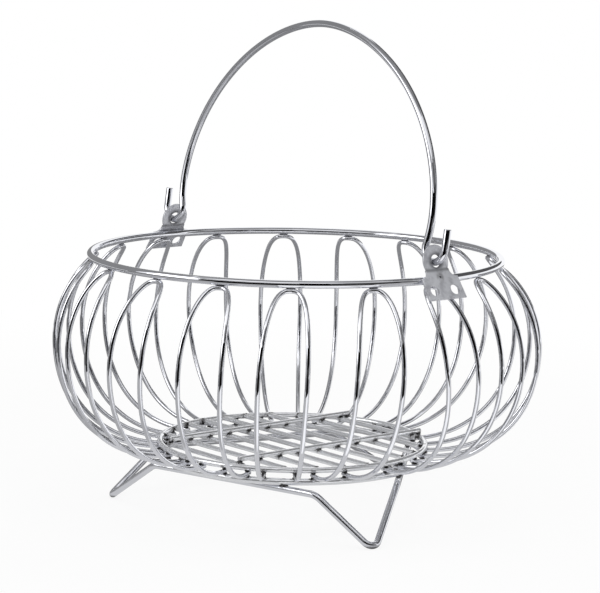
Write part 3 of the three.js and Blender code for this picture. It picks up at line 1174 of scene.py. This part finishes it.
@dataclass
class FootFrame:
    """One wire bent into three V feet with a straight run between each pair."""

    base: BaseGrid
    count: int = 3
    wire: float = 4.0
    first: float = math.radians(-16)
    off_centre: float = 3.0
    reach: float = 109.0
    run_offset: float = 64.5
    run_half: float = 57.9
    run_shift: float = 3.75
    run_bend: float = 10.0
    tip_bend: float = 5.0
    butt_gap: float = 0.3
    run_bead: BeadSize = BeadSize(3.0, 1.7, 0.9)
    bend_steps: int = 12
    run_steps: int = 30

    def __post_init__(self) -> None:
        """Works out the height of the runs under the lower ring, and where the frame's middle is."""
        self.run_height = self.base.lower_height - stacked(self.base.lower_wire, self.wire)
        self.middle = level_direction(self.first) * self.off_centre

    def run_corner(self, direction: float, side: int) -> Vector:
        """Corner where the run on one side of a foot turns into that foot's arm.

        Args:
            direction: angle of the foot.
            side: 1 or -1 for the two sides of the foot.

        Returns:
            The corner, from the frame's middle.
        """
        square = direction + side * math.pi / self.count
        out = level_direction(square)
        along = level_direction(square + math.pi / 2)
        shift = self.run_shift - side * self.run_half
        return out * self.run_offset + along * shift + UP * self.run_height

    def tip_corner(self, arm_a: Vector, arm_b: Vector, tip: Vector) -> Vector:
        """Corner that a foot's two arms point at, set so that the rounded tip stands on the table.

        Args:
            arm_a: where one arm starts.
            arm_b: where the other arm starts.
            tip: middle of the wire at the rounded tip.

        Returns:
            The corner.
        """
        span = (arm_b - arm_a).length
        level = (arm_b - arm_a) / span
        share_a = (tip - arm_a).dot(level)
        out = tip - arm_a - level * share_a
        slope_a = self.arm_slope(out.length, share_a)
        slope_b = self.arm_slope(out.length, span - share_a)
        along = span * slope_b / (slope_a + slope_b)
        return arm_a + level * along + out.normalized() * (along * slope_a)

    def arm_slope(self, reach: float, share: float) -> float:
        """How steeply an arm runs out to touch the tip's round.

        Args:
            reach: distance of the tip from the line between the arms' starts.
            share: distance along that line from the arm's start to under the tip.

        Returns:
            The distance outward for each step along the line.
        """
        depth = reach - self.tip_bend
        lean = math.asin(self.tip_bend / math.hypot(depth, share))
        return math.tan(math.atan2(depth, share) + lean)

    def stations(self) -> list[Vector]:
        """Lays out the path of the whole frame.

        Returns:
            The stations from one butted end round to the other.
        """
        corners = []
        for i in range(self.count):
            direction = self.first - 2 * math.pi * i / self.count
            tip = level_direction(direction) * self.reach + UP * (self.wire / 2)
            arriving = self.run_corner(direction, 1)
            leaving = self.run_corner(direction, -1)
            corners.append((arriving, self.run_bend))
            corners.append((self.tip_corner(arriving, leaving, tip), self.tip_bend))
            corners.append((leaving, self.run_bend))
        butt = (corners[0][0] + corners[-1][0]) / 2
        half_gap = (corners[0][0] - corners[-1][0]).normalized() * (self.butt_gap / 2)
        start = butt + half_gap
        end = butt - half_gap
        stations = [start]
        for i, (corner, radius) in enumerate(corners):
            before = corners[i - 1][0] if i > 0 else start
            after = corners[i + 1][0] if i + 1 < len(corners) else end
            bend = bend_stations(before, corner, after, radius, self.bend_steps)
            stations += self.filled(stations[-1], bend[0])
            stations += bend
        stations += self.filled(stations[-1], end)
        stations.append(end)
        return [station + self.middle for station in stations]

    def filled(self, start: Vector, end: Vector) -> list[Vector]:
        """Stations between two points of a straight run, without the points themselves."""
        return [start.lerp(end, i / self.run_steps) for i in range(1, self.run_steps)]

    def build(self, heat: HeatMap, finish: bpy.types.Material) -> None:
        """Makes the foot frame.

        Args:
            heat: heat marks of the welds.
            finish: its material.
        """
        piece = RoundWire(self.wire).piece("three_foot_wire", self.stations(), WireEnd.CUT, heat)
        dress(piece, finish, Body.BASKET, ["foot_frame"])

    def welds(self) -> list[Weld]:
        """Places the beads of the feet.

        Returns:
            The beads where the runs cross under the lower ring.
        """
        found = []
        height = self.run_height + (self.wire + SEAT_GAP) / 2
        for i in range(self.count):
            square = self.first + (2 * i + 1) * math.pi / self.count
            along = level_direction(square + math.pi / 2)
            foot = level_direction(square) * self.run_offset + self.middle
            lead = foot.dot(along)
            spread = math.sqrt(lead**2 - foot.length_squared + self.base.ring_radius**2)
            for side in (1, -1):
                place = foot + along * (side * spread - lead)
                round_way = place.cross(UP).normalized()
                bisector = along + round_way * math.copysign(1, along.dot(round_way))
                found.append(Weld(place + UP * height, bisector.normalized(), UP, self.run_bead))
        return found


@dataclass
class PivotBrackets:
    """Two sheet brackets, each folded once, with the flange on the rim and the lug upright."""

    rim: RimRing
    sheet: float = 1.2
    fold_above: float = 5.6
    flange_lean: float = math.radians(33)
    flange_length: float = 18.1
    waist_half: float = 8.4
    shoulder_half: float = 13.1
    shoulder_drop: float = 4.7
    foot_half: float = 13.8
    screw_hole: float = 6.0
    screw_pitch: float = 15.0
    screw_drop: float = 12.75
    lug_lean: float = math.radians(14)
    lug_radius: float = 9.1
    lug_wrap: float = math.radians(30)
    pivot_hole: float = 7.2
    pivot_rise: float = 4.75
    punched_edge: float = 0.22
    fold_half: float = 1.3
    flange_bead: BeadSize = BeadSize(4.5, 1.2, 0.6)
    fold_cuts: int = 8
    cut_snap: float = 1e-4
    sharp_from: float = math.radians(38)
    least_mitre: float = 0.5
    curve_steps: int = 40

    def __post_init__(self) -> None:
        """Works out where the fold and the pivot hole are."""
        self.fold_height = self.rim.height + self.fold_above
        off = self.rim.wire / 2 + SEAT_GAP + self.sheet / 2
        lean = self.flange_lean
        self.fold_out = self.rim.radius + (off - self.fold_above * math.sin(lean)) / math.cos(lean)
        self.pivot_height = self.fold_height + self.pivot_rise * math.cos(self.lug_lean)
        self.pivot_out = self.fold_out - self.pivot_rise * math.sin(self.lug_lean)

    def outline(self) -> list[Vector]:
        """Lays out the blank before folding.

        Returns:
            The points of its outline, with X across and Y up from the fold line.
        """
        points = []
        middle = Vector((0, self.pivot_rise))
        for i in range(self.curve_steps + 1):
            turn = -self.lug_wrap + (math.pi + 2 * self.lug_wrap) * i / self.curve_steps
            points.append(Vector((math.cos(turn), math.sin(turn))) * self.lug_radius + middle)
        waist = self.shoulder_curve()
        points += [Vector((-point.x, point.y)) for point in waist]
        points.append(Vector((-self.foot_half, -self.flange_length)))
        points.append(Vector((self.foot_half, -self.flange_length)))
        points += list(reversed(waist))
        return points

    def shoulder_curve(self) -> list[Vector]:
        """Lays out the curve from the waist at the fold out to the shoulder's corner.

        Returns:
            Its points on the +X side.
        """
        start = Vector((self.waist_half, 0.0))
        pull = Vector((self.waist_half, -self.shoulder_drop))
        end = Vector((self.shoulder_half, -self.shoulder_drop))
        steps = self.curve_steps // 3
        points = []
        for i in range(steps + 1):
            share = i / steps
            points.append(start.lerp(pull, share).lerp(pull.lerp(end, share), share))
        return points

    def hole(self, middle: Vector, diameter: float) -> list[Vector]:
        """Lays out a punched hole.

        Args:
            middle: middle of the hole.
            diameter: its diameter.

        Returns:
            Its points clockwise, so that the metal is on the same hand as the outline's.
        """
        points = []
        for i in range(self.curve_steps):
            turn = -2 * math.pi * i / self.curve_steps
            points.append(middle + Vector((math.cos(turn), math.sin(turn))) * (diameter / 2))
        return points

    def inset(self, outline: list[Vector], distance: float) -> list[Vector]:
        """An outline moved into the metal.

        Args:
            outline: points with the metal on their left.
            distance: how far it moves.

        Returns:
            The moved points.
        """
        moved = []
        for i, here in enumerate(outline):
            before = (here - outline[i - 1]).normalized()
            after = (outline[(i + 1) % len(outline)] - here).normalized()
            left = Vector((-before.y - after.y, before.x + after.x))
            square = left.normalized()
            mitre = max(square.dot(Vector((-before.y, before.x))), self.least_mitre)
            moved.append(here + square * (distance / mitre))
        return moved

    def folded(self, across: float, up: float, off: float) -> Vector:
        """A point of the blank after folding, on the +X bracket.

        Args:
            across: distance along the fold line.
            up: distance from the fold line, down the flange where it is negative.
            off: distance off the middle of the sheet, outward.

        Returns:
            The point.
        """
        bending = self.lug_lean - self.flange_lean
        rate = bending / (2 * self.fold_half)
        tangent = abs(math.tan(bending / 2) / rate)
        inside = min(max(up, -self.fold_half), self.fold_half)
        lean = self.flange_lean + rate * (inside + self.fold_half)
        start = Vector((math.sin(self.flange_lean), -math.cos(self.flange_lean))) * tangent
        arc = Vector((math.cos(lean), math.sin(lean))) - Vector(
            (math.cos(self.flange_lean), math.sin(self.flange_lean))
        )
        straight = Vector((-math.sin(lean), math.cos(lean))) * (up - inside)
        outward = Vector((math.cos(lean), math.sin(lean))) * off
        spot = start + arc / rate + straight + outward
        return Vector((self.fold_out + spot.x, across, self.fold_height + spot.y))

    def blank(self) -> bmesh.types.BMesh:
        """Makes the flat blank.

        Returns:
            A closed solid with softened punched edges.
        """
        shape = bmesh.new()
        screws = [Vector((side * self.screw_pitch / 2, -self.screw_drop)) for side in (-1, 1)]
        outlines = [self.outline(), self.hole(Vector((0, self.pivot_rise)), self.pivot_hole)]
        outlines += [self.hole(screw, self.screw_hole) for screw in screws]
        half = self.sheet / 2
        edge = self.punched_edge
        slope = edge * (1 - math.sqrt(0.5))
        profile = [(edge, half), (slope, half - slope), (0.0, half - edge)]
        profile += [(inset, -height) for inset, height in reversed(profile)]
        rims = {1: [], -1: []}
        for outline in outlines:
            loops = []
            for inset, height in profile:
                loops.append([shape.verts.new((*point, height)) for point in self.inset(outline, inset)])
            for upper, lower in zip(loops, loops[1:]):
                for i, corner in enumerate(upper):
                    j = (i + 1) % len(upper)
                    shape.faces.new((corner, lower[i], lower[j], upper[j]))
            for face, loop in ((1, loops[0]), (-1, loops[-1])):
                for i, corner in enumerate(loop):
                    rims[face].append(shape.edges.get((corner, loop[(i + 1) % len(loop)])))
        for face, edges in rims.items():
            bmesh.ops.triangle_fill(shape, use_beauty=True, edges=edges, normal=(0, 0, face))
        return shape

    def build(self, shared: SharedEffects, finish: MottledSheet) -> None:
        """Makes both brackets.

        Args:
            shared: the node groups shared by the finishes.
            finish: the sheet's finish.
        """
        weld = self.folded(0.0, self.weld_drop(), self.sheet / 2)
        pivot = Vector((self.pivot_out, 0.0, self.pivot_height))
        material = finish.material(shared, SheetMarks(weld, pivot, self.pivot_hole, self.fold_height))
        for side in Side:
            shape = self.blank()
            for i in range(self.fold_cuts + 1):
                height = self.fold_half * (2 * i / self.fold_cuts - 1)
                bmesh.ops.bisect_plane(
                    shape,
                    geom=shape.verts[:] + shape.edges[:] + shape.faces[:],
                    dist=self.cut_snap,
                    plane_co=(0, height, 0),
                    plane_no=(0, 1, 0),
                )
            turned = self.turned(side)
            for corner in shape.verts:
                corner.co = turned @ self.folded(*corner.co) * MM
            bmesh.ops.recalc_face_normals(shape, faces=shape.faces[:])
            name = side.name.lower()
            mesh = bpy.data.meshes.new(f"folded_bracket_{name}")
            shape.to_mesh(mesh)
            shape.free()
            mesh.shade_smooth()
            mesh.set_sharp_from_angle(angle=self.sharp_from)
            piece = new_object(mesh.name, mesh)
            dress(piece, material, Body.BASKET, [f"pivot_bracket_{name}"])

    def turned(self, side: Side) -> Matrix:
        """The half turn about the basket's axis that takes a front bracket to the rear."""
        return Matrix.Rotation(math.pi if side is Side.REAR else 0.0, 3, "Z")

    def weld_drop(self) -> float:
        """How far down the flange the rim touches it, as a distance from the fold line."""
        return -self.fold_above * math.cos(self.flange_lean) - self.fold_slide()

    def fold_slide(self) -> float:
        """How far the rim's middle is shifted down the flange because the fold stands out from it."""
        return (self.fold_out - self.rim.radius) * math.sin(-self.flange_lean)

    def welds(self) -> list[Weld]:
        """Places the bead between each flange and the rim.

        Returns:
            One bead for each bracket.
        """
        found = []
        lean = self.flange_lean
        out = Vector((math.cos(lean), 0, math.sin(lean)))
        contact = self.rim.wire / 2 + SEAT_GAP / 2
        for side in Side:
            turned = self.turned(side)
            place = Vector((self.rim.radius, 0, self.rim.height)) + out * contact
            found.append(Weld(turned @ place, Vector((0, 1, 0)), turned @ out, self.flange_bead))
        return found


@dataclass
class BailHandle:
    """The handle: one wire arch with a hook at each end, out through the pivot holes."""

    brackets: PivotBrackets
    wire: float = 4.2
    lean: float = math.radians(-8.3)
    half_span: float = 112.7
    springing: float = 24.2
    rise: float = 102.3
    fullness: float = 1.87
    curl_in: float = 1.9
    hook_top: float = 9.4
    hook_inner_bend: float = 7.2
    hook_outer_bend: float = 8.1
    hook_reach: float = 7.4
    hook_height: float = 18.8
    hole_play: float = 0.35
    aside: float = -1.0
    arch_steps: int = 80
    curl_steps: int = 10
    bend_steps: int = 16
    sides: int = 20

    def pivot(self) -> Vector:
        """Finds the line that the handle swings about, low in the loose pivot holes.

        Returns:
            The middle of that line.
        """
        loose = (self.brackets.pivot_hole - self.wire) / 2 - self.hole_play
        drop = math.sqrt(loose**2 - self.aside**2)
        return Vector((0, self.aside, self.brackets.pivot_height - drop))

    def half_stations(self) -> list[Vector]:
        """Lays out one half of the handle's path.

        Returns:
            The stations of the +X half in the XZ plane, from the hook's tip to just short of the crown.
        """
        drop = self.springing - self.hook_top
        curl = 2 * math.atan2(self.curl_in, drop)
        curl_radius = drop / math.sin(curl)
        curl_end = Vector((self.half_span - self.curl_in, 0, self.hook_top))
        inner = Vector((curl_end.x - self.hook_top * math.tan(curl), 0, 0))
        outer = Vector((self.brackets.pivot_out + self.hook_reach, 0, 0))
        tip = outer + UP * self.hook_height
        stations = [tip]
        stations += bend_stations(tip, outer, inner, self.hook_outer_bend, self.bend_steps)
        stations += bend_stations(outer, inner, curl_end, self.hook_inner_bend, self.bend_steps)
        for i in range(self.curl_steps, 0, -1):
            turn = curl * i / self.curl_steps
            inward = curl_radius * (1 - math.cos(turn))
            down = curl_radius * math.sin(turn)
            stations.append(Vector((self.half_span - inward, 0, self.springing - down)))
        power = 2 / self.fullness
        for i in range(self.arch_steps):
            turn = math.pi / 2 * i / self.arch_steps
            across = self.half_span * math.cos(turn) ** power
            stations.append(Vector((across, 0, self.springing + self.rise * math.sin(turn) ** power)))
        return stations

    def build(self, heat: HeatMap, finish: bpy.types.Material) -> None:
        """Makes the handle, leaning as it stands at rest.

        Args:
            heat: heat marks of the welds.
            finish: its material.
        """
        right = self.half_stations()
        crown = Vector((0, 0, self.springing + self.rise))
        left = [Vector((-station.x, 0, station.z)) for station in reversed(right)]
        leaned = Matrix.Rotation(self.lean, 3, "X")
        stations = [leaned @ station + self.pivot() for station in right + [crown] + left]
        wire = RoundWire(self.wire, self.sides)
        piece = wire.piece("swinging_bail", stations, WireEnd.CUT, heat)
        dress(piece, finish, Body.BAIL, ["bail_handle"])


@dataclass
class WeldBeads:
    """All beads of one kind of joint, as one piece."""

    name: str
    welds: list[Weld]
    slot: str
    ripple: float = 0.16
    ripple_size: float = 0.9
    roundness: int = 2

    def build(self, finish: bpy.types.Material) -> None:
        """Makes the beads, each a flattened lump with an uneven skin.

        Args:
            finish: their material.
        """
        shape = bmesh.new()
        for weld in self.welds:
            across = weld.out.cross(weld.along).normalized()
            turn = Matrix((weld.along, across, weld.out)).transposed()
            lump = bmesh.ops.create_icosphere(shape, subdivisions=self.roundness, radius=1.0)
            for corner in lump["verts"]:
                uneven = 1 + self.ripple * noise.noise(corner.co / self.ripple_size + weld.place)
                size = Vector((weld.size.length, weld.size.width, weld.size.depth)) * uneven
                corner.co = (weld.place + turn @ (corner.co * size)) * MM
        mesh = bpy.data.meshes.new(self.name)
        shape.to_mesh(mesh)
        shape.free()
        mesh.shade_smooth()
        dress(new_object(self.name, mesh), finish, Body.BASKET, [])


class CardTone(Enum):
    """Tones of the cards that stand round the table, seen only in the metal."""

    BLACK = 0.004
    DEEP = 0.09
    DARK = 0.17
    DIM = 0.25
    MID = 0.42
    PALE = 0.58


@dataclass(frozen=True)
class Card:
    """A curved card that the metal reflects.

    It spans angles in degrees, left to right from the camera's side of the table and low to high from the
    level. Its distance from the basket is in metres. What would be below the table lies flat on it.
    """

    name: str
    tone: CardTone
    left: float
    right: float
    low: float
    high: float
    distance: float = 1.1
    columns: int = 12
    rows: int = 8


@dataclass(frozen=True)
class Lamp:
    """A soft square lamp that faces the basket.

    It stands at angles in degrees, turned from the camera's side of the table and lifted from the level.
    Its distance and size are in metres, and its level is the share of a white surface's brightness that it
    gives. The wires show the lamp itself only where it is mirrored.
    """

    name: str
    turn: float
    lift: float
    distance: float
    size: float
    level: float
    mirrored: bool


@dataclass
class Studio:
    """Camera, floor, lamps, world and cards.

    Lens, sensor, camera distance and aim are in millimetres. Floor, lowest card and the nearest and farthest
    that the camera sees are in metres.
    """

    lens: float = 139.8
    distance: float = 1367.0
    azimuth: float = math.radians(-40.08)
    elevation: float = math.radians(8.5)
    roll: float = math.radians(1.09)
    aim_height: float = 140.0
    aim_right: float = 2.5
    aim_up: float = -15.0
    sensor_width: float = 36.0
    nearest_seen: float = 0.05
    farthest_seen: float = 50.0
    floor_radius: float = 4.0
    floor_sides: int = 96
    floor_roughness: float = 0.9
    lowest_card: float = 0.002
    shadow_radius: float = 0.28
    white_radius: float = 0.75
    floor_colour: Colour = (0.92, 0.92, 0.92)
    floor_glow: float = 0.88
    world_level: float = 0.55
    cards: tuple[Card, ...] = (
        Card("front_black_card", CardTone.BLACK, -50.0, 2.0, -9.0, 22.0),
        Card("front_tall_black_card", CardTone.BLACK, 2.0, 18.0, -9.0, 38.0),
        Card("front_right_black_card", CardTone.BLACK, 18.0, 55.0, 3.0, 24.0, 1.0),
        Card("front_left_mid_card", CardTone.MID, -56.0, 2.0, 24.0, 40.0),
        Card("left_low_card", CardTone.DIM, -97.0, -56.0, -5.0, 5.0),
        Card("left_high_card", CardTone.MID, -97.0, -56.0, 40.0, 62.0),
        Card("right_dark_card", CardTone.DARK, 18.0, 72.0, -6.0, 40.0),
        Card("right_high_card", CardTone.PALE, 30.0, 78.0, 40.0, 62.0),
        Card("rear_right_deep_card", CardTone.DEEP, 78.0, 165.0, 10.0, 62.0, 1.4),
        Card("rear_left_dim_card", CardTone.DIM, -172.0, -92.0, -5.0, 60.0, 1.4),
        Card("top_dim_card", CardTone.DIM, -180.0, 180.0, 62.0, 89.0, 1.1, 48),
        # The table cards are a painted reflection of the shaded table top round the basket, seen only in the
        # metal.
        Card("table_near_card", CardTone.PALE, -97.0, 110.0, -89.0, -62.0, 0.3, 36),
        Card("table_left_card", CardTone.MID, -97.0, -40.0, -82.0, -58.0, 1.0, 24),
        Card("table_front_card", CardTone.MID, -40.0, -8.0, -82.0, -66.0, 1.0, 24),
        Card("table_far_left_card", CardTone.DARK, -97.0, -40.0, -58.0, -5.0, 1.0, 24),
        Card("table_front_black_card", CardTone.BLACK, -40.0, 40.0, -66.0, -6.0, 1.0, 24),
        Card("table_right_card", CardTone.MID, 40.0, 80.0, -82.0, -10.0, 1.0),
        Card("table_rear_card", CardTone.DIM, 110.0, 263.0, -89.0, -10.0, 1.0, 36),
    )
    lamps: tuple[Lamp, ...] = (
        Lamp("left_soft_box", turn=-71.0, lift=24.0, distance=1.9, size=1.0, level=0.14, mirrored=True),
        Lamp("top_soft_box", turn=10.0, lift=78.0, distance=1.7, size=1.0, level=0.28, mirrored=False),
        Lamp("right_soft_box", turn=100.0, lift=35.0, distance=2.2, size=1.2, level=0.2, mirrored=False),
    )

    def camera_axes(self) -> tuple[Vector, Vector, Vector]:
        """Works out how the camera is turned.

        Returns:
            Its right, up and backward directions.
        """
        level = math.cos(self.elevation)
        back = level_direction(self.azimuth) * level + UP * math.sin(self.elevation)
        right = level_direction(self.azimuth + math.pi / 2)
        up = back.cross(right)
        turned_right = right * math.cos(self.roll) + up * math.sin(self.roll)
        turned_up = up * math.cos(self.roll) - right * math.sin(self.roll)
        return turned_right, turned_up, back

    def build_camera(self) -> None:
        """Makes the camera at the photograph's viewing angle."""
        right, up, back = self.camera_axes()
        aim = UP * self.aim_height + right * self.aim_right + up * self.aim_up
        place = (aim + back * self.distance) * MM
        camera = bpy.data.cameras.new("basket_camera")
        camera.lens = self.lens
        camera.sensor_width = self.sensor_width
        camera.clip_start = self.nearest_seen
        camera.clip_end = self.farthest_seen
        holder = bpy.data.objects.new("basket_camera", camera)
        bpy.context.scene.collection.objects.link(holder)
        turn = Matrix((right, up, back)).transposed().to_4x4()
        holder.matrix_world = Matrix.Translation(place) @ turn
        bpy.context.scene.camera = holder

    def seen_or_mirrored(self, nodes: Nodes) -> bpy.types.NodeSocket:
        """Marks what the camera sees directly, in metal or through glass.

        Args:
            nodes: layout helper of the material or world.

        Returns:
            The mask.
        """
        path = nodes.add("ShaderNodeLightPath")
        seen = nodes.maths("MAXIMUM", path.outputs["Is Camera Ray"], path.outputs["Is Glossy Ray"])
        return nodes.maths("MAXIMUM", seen, path.outputs["Is Transmission Ray"])

    def build_world(self) -> None:
        """Makes the world: a plain level for the light, white where it is seen."""
        world = bpy.data.worlds.new("white_room")
        world.use_nodes = True
        world.node_tree.nodes.clear()
        nodes = Nodes(world.node_tree)
        light = nodes.add("ShaderNodeBackground")
        light.inputs["Strength"].default_value = self.world_level
        white = nodes.add("ShaderNodeBackground")
        for background in (light, white):
            background.inputs["Color"].default_value = (1.0, 1.0, 1.0, 1.0)
        mix = nodes.add("ShaderNodeMixShader")
        nodes.join(self.seen_or_mirrored(nodes), mix.inputs["Fac"])
        nodes.join(light.outputs["Background"], mix.inputs[1])
        nodes.join(white.outputs["Background"], mix.inputs[2])
        nodes.join(mix.outputs["Shader"], nodes.add("ShaderNodeOutputWorld").inputs["Surface"])
        bpy.context.scene.world = world

    def build_floor(self) -> None:
        """Makes the pale floor, which keeps the shadow and fades to white away from the basket."""
        shape = bmesh.new()
        bmesh.ops.create_circle(shape, cap_ends=True, segments=self.floor_sides, radius=self.floor_radius)
        mesh = bpy.data.meshes.new("pale_floor")
        shape.to_mesh(mesh)
        shape.free()
        floor = new_object("pale_floor", mesh)
        material, nodes, skin = new_finish("pale_table_top")
        skin.inputs["Base Color"].default_value = (*self.floor_colour, 1.0)
        skin.inputs["Roughness"].default_value = self.floor_roughness
        skin.inputs["Specular IOR Level"].default_value = 0.0
        place = nodes.add("ShaderNodeTexCoord").outputs["Object"]
        reach = nodes.add("ShaderNodeVectorMath", operation="LENGTH")
        nodes.join(place, reach.inputs[0])
        away = reach.outputs["Value"]
        far = nodes.ramp(away, self.shadow_radius, self.white_radius, self.floor_glow, 1.0)
        glow = nodes.add("ShaderNodeEmission")
        mix = nodes.add("ShaderNodeMixShader")
        nodes.join(nodes.maths("MULTIPLY", far, self.seen_or_mirrored(nodes)), mix.inputs["Fac"])
        nodes.join(skin.outputs["BSDF"], mix.inputs[1])
        nodes.join(glow.outputs["Emission"], mix.inputs[2])
        nodes.join(mix.outputs["Shader"], material.node_tree.nodes["Material Output"].inputs["Surface"])
        mesh.materials.append(material)

    def way_out(self, turn: float, lift: float) -> Vector:
        """Unit vector away from the basket.

        Args:
            turn: angle from the camera's side of the table, in degrees.
            lift: angle above the level, in degrees.

        Returns:
            The vector.
        """
        raised = math.radians(lift)
        level = level_direction(self.azimuth + math.radians(turn))
        return level * math.cos(raised) + UP * math.sin(raised)

    def spot(self, turn: float, lift: float, distance: float) -> Vector:
        """A point of the studio in metres, at angles and a distance from the middle of the picture."""
        return UP * (self.aim_height * MM) + self.way_out(turn, lift) * distance

    def build_card(self, card: Card) -> None:
        """Makes one card, which only the metal sees.

        Args:
            card: its tone, angles and distance.
        """
        shape = bmesh.new()
        grid = []
        for i in range(card.columns + 1):
            turn = card.left + (card.right - card.left) * i / card.columns
            column = []
            for j in range(card.rows + 1):
                lift = card.low + (card.high - card.low) * j / card.rows
                place = self.spot(turn, lift, card.distance)
                place.z = max(place.z, self.lowest_card)
                column.append(shape.verts.new(place))
            grid.append(column)
        for here, there in zip(grid, grid[1:]):
            for j in range(card.rows):
                shape.faces.new((here[j], there[j], there[j + 1], here[j + 1]))
        mesh = bpy.data.meshes.new(card.name)
        shape.to_mesh(mesh)
        shape.free()
        piece = new_object(card.name, mesh)
        material = bpy.data.materials.new(card.name)
        material.use_nodes = True
        material.node_tree.nodes.clear()
        nodes = Nodes(material.node_tree)
        glow = nodes.add("ShaderNodeEmission")
        glow.inputs["Strength"].default_value = card.tone.value
        nodes.join(glow.outputs["Emission"], nodes.add("ShaderNodeOutputMaterial").inputs["Surface"])
        mesh.materials.append(material)
        piece.visible_camera = False
        piece.visible_diffuse = False
        piece.visible_shadow = False

    def build_lamp(self, lamp: Lamp) -> None:
        """Makes one lamp.

        Args:
            lamp: its place, size and level.
        """
        light = bpy.data.lights.new(lamp.name, "AREA")
        light.shape = "SQUARE"
        light.size = lamp.size
        light.energy = lamp.level * math.pi**2 * lamp.distance**2
        holder = bpy.data.objects.new(lamp.name, light)
        bpy.context.scene.collection.objects.link(holder)
        holder.location = self.spot(lamp.turn, lamp.lift, lamp.distance)
        holder.rotation_mode = "QUATERNION"
        holder.rotation_quaternion = self.way_out(lamp.turn, lamp.lift).to_track_quat("Z", "Y")
        holder.visible_glossy = lamp.mirrored

    def build(self) -> None:
        """Makes the whole studio."""
        bpy.context.scene.view_settings.view_transform = "Standard"
        self.build_camera()
        self.build_world()
        self.build_floor()
        for card in self.cards:
            self.build_card(card)
        for lamp in self.lamps:
            self.build_lamp(lamp)


def main() -> None:
    """Builds the basket's sub-assemblies in order, then the studio."""
    logging.basicConfig(level=logging.INFO, format="%(name)s: %(message)s")
    shared = SharedEffects()
    rim = RimRing()
    loops = SideLoops(rim)
    base = BaseGrid(loops)
    feet = FootFrame(base)
    brackets = PivotBrackets(rim)
    bail = BailHandle(brackets)

    rim_welds = loops.crown_welds() + brackets.welds()
    base_welds = loops.tip_welds(base.ring_radius) + base.welds()
    foot_welds = feet.welds()
    heat = HeatMap(rim_welds + base_welds + foot_welds, HEAT_REACH)

    bright_rim = PlatedWire(
        "bright_rim_wire",
        bright=(0.88, 0.89, 0.94),
        dull=(0.76, 0.77, 0.81),
        roughness=0.03,
        haze_roughness=0.1,
        haze=0.35,
        soot=0.25,
    )
    bright_side = PlatedWire(
        "bright_side_wire",
        bright=(0.92, 0.93, 0.98),
        dull=(0.80, 0.81, 0.85),
        roughness=0.04,
        haze_roughness=0.12,
        haze=0.3,
        soot=0.3,
    )
    # The base's plating colour is partly its own tone and partly painted light, set lighter than the other
    # wires' to brighten the floor of the basket.
    dull_base = PlatedWire(
        "dull_base_wire",
        bright=(0.96, 0.97, 1.0),
        dull=(0.86, 0.87, 0.9),
        roughness=0.06,
        haze_roughness=0.16,
        haze=0.5,
        # Full weld soot on the base, partly painted shade in the gaps where the floor wires cross.
        soot=1.0,
        metallic=0.75,
    )
    foot_plate = PlatedWire(
        "foot_wire_plate",
        bright=(0.88, 0.89, 0.94),
        dull=(0.76, 0.77, 0.81),
        roughness=0.03,
        haze_roughness=0.1,
        haze=0.35,
        soot=0.5,
        # Painted contact shadow under the foot tips.
        contact_shadow=0.95,
        contact_shadow_height=2.8,
    )
    bright_bail = PlatedWire(
        "bright_bail_wire",
        bright=(0.82, 0.83, 0.88),
        dull=(0.70, 0.71, 0.75),
        roughness=0.04,
        haze_roughness=0.12,
        haze=0.35,
        soot=0.0,
    )
    sheet = MottledSheet(
        "mottled_bracket_sheet",
        pale=(0.65, 0.66, 0.70),
        dark=(0.45, 0.455, 0.49),
        roughness=0.34,
        patch_roughness=0.44,
        patch_size=0.005,
        patch_height=0.25,
        pit_size=0.0009,
        metallic=0.4,
        weld_heat=0.8,
        weld_reach=6.0,
        weld_soot=0.5,
        soot_size=0.0027,
        dent_reach=0.8,
        dent_depth=0.3,
        dent_strength=0.2,
        dirt_and_shade=(0.03, 0.03, 0.035),
        # Painted shade round the pivot hole and along the fold.
        pivot_shade=0.7,
        pivot_shade_reach=3.2,
        fold_shade=0.55,
        fold_reach=1.6,
    )
    # The beads' colours are darkened in part as painted shade in the joints.
    bead = WeldMetal(
        "weld_bead",
        clean=(0.2, 0.195, 0.195),
        burnt=(0.03, 0.028, 0.028),
        roughness=0.3,
        burnt_roughness=0.6,
        patch_size=0.0016,
        heat=0.7,
    )

    rim.build(heat, bright_rim.material(shared))
    loops.build(heat, bright_side.material(shared))
    base.build(heat, dull_base.material(shared))
    feet.build(heat, foot_plate.material(shared))
    brackets.build(shared, sheet)
    bail.build(heat, bright_bail.material(shared))
    bead_metal = bead.material(shared)
    WeldBeads("rim_weld_beads", rim_welds, "rim_wire").build(bead_metal)
    WeldBeads("base_weld_beads", base_welds, "base_wire").build(bead_metal)
    WeldBeads("foot_weld_beads", foot_welds, "foot_wire").build(bead_metal)
    Studio().build()


if __name__ == "__main__":
    main()
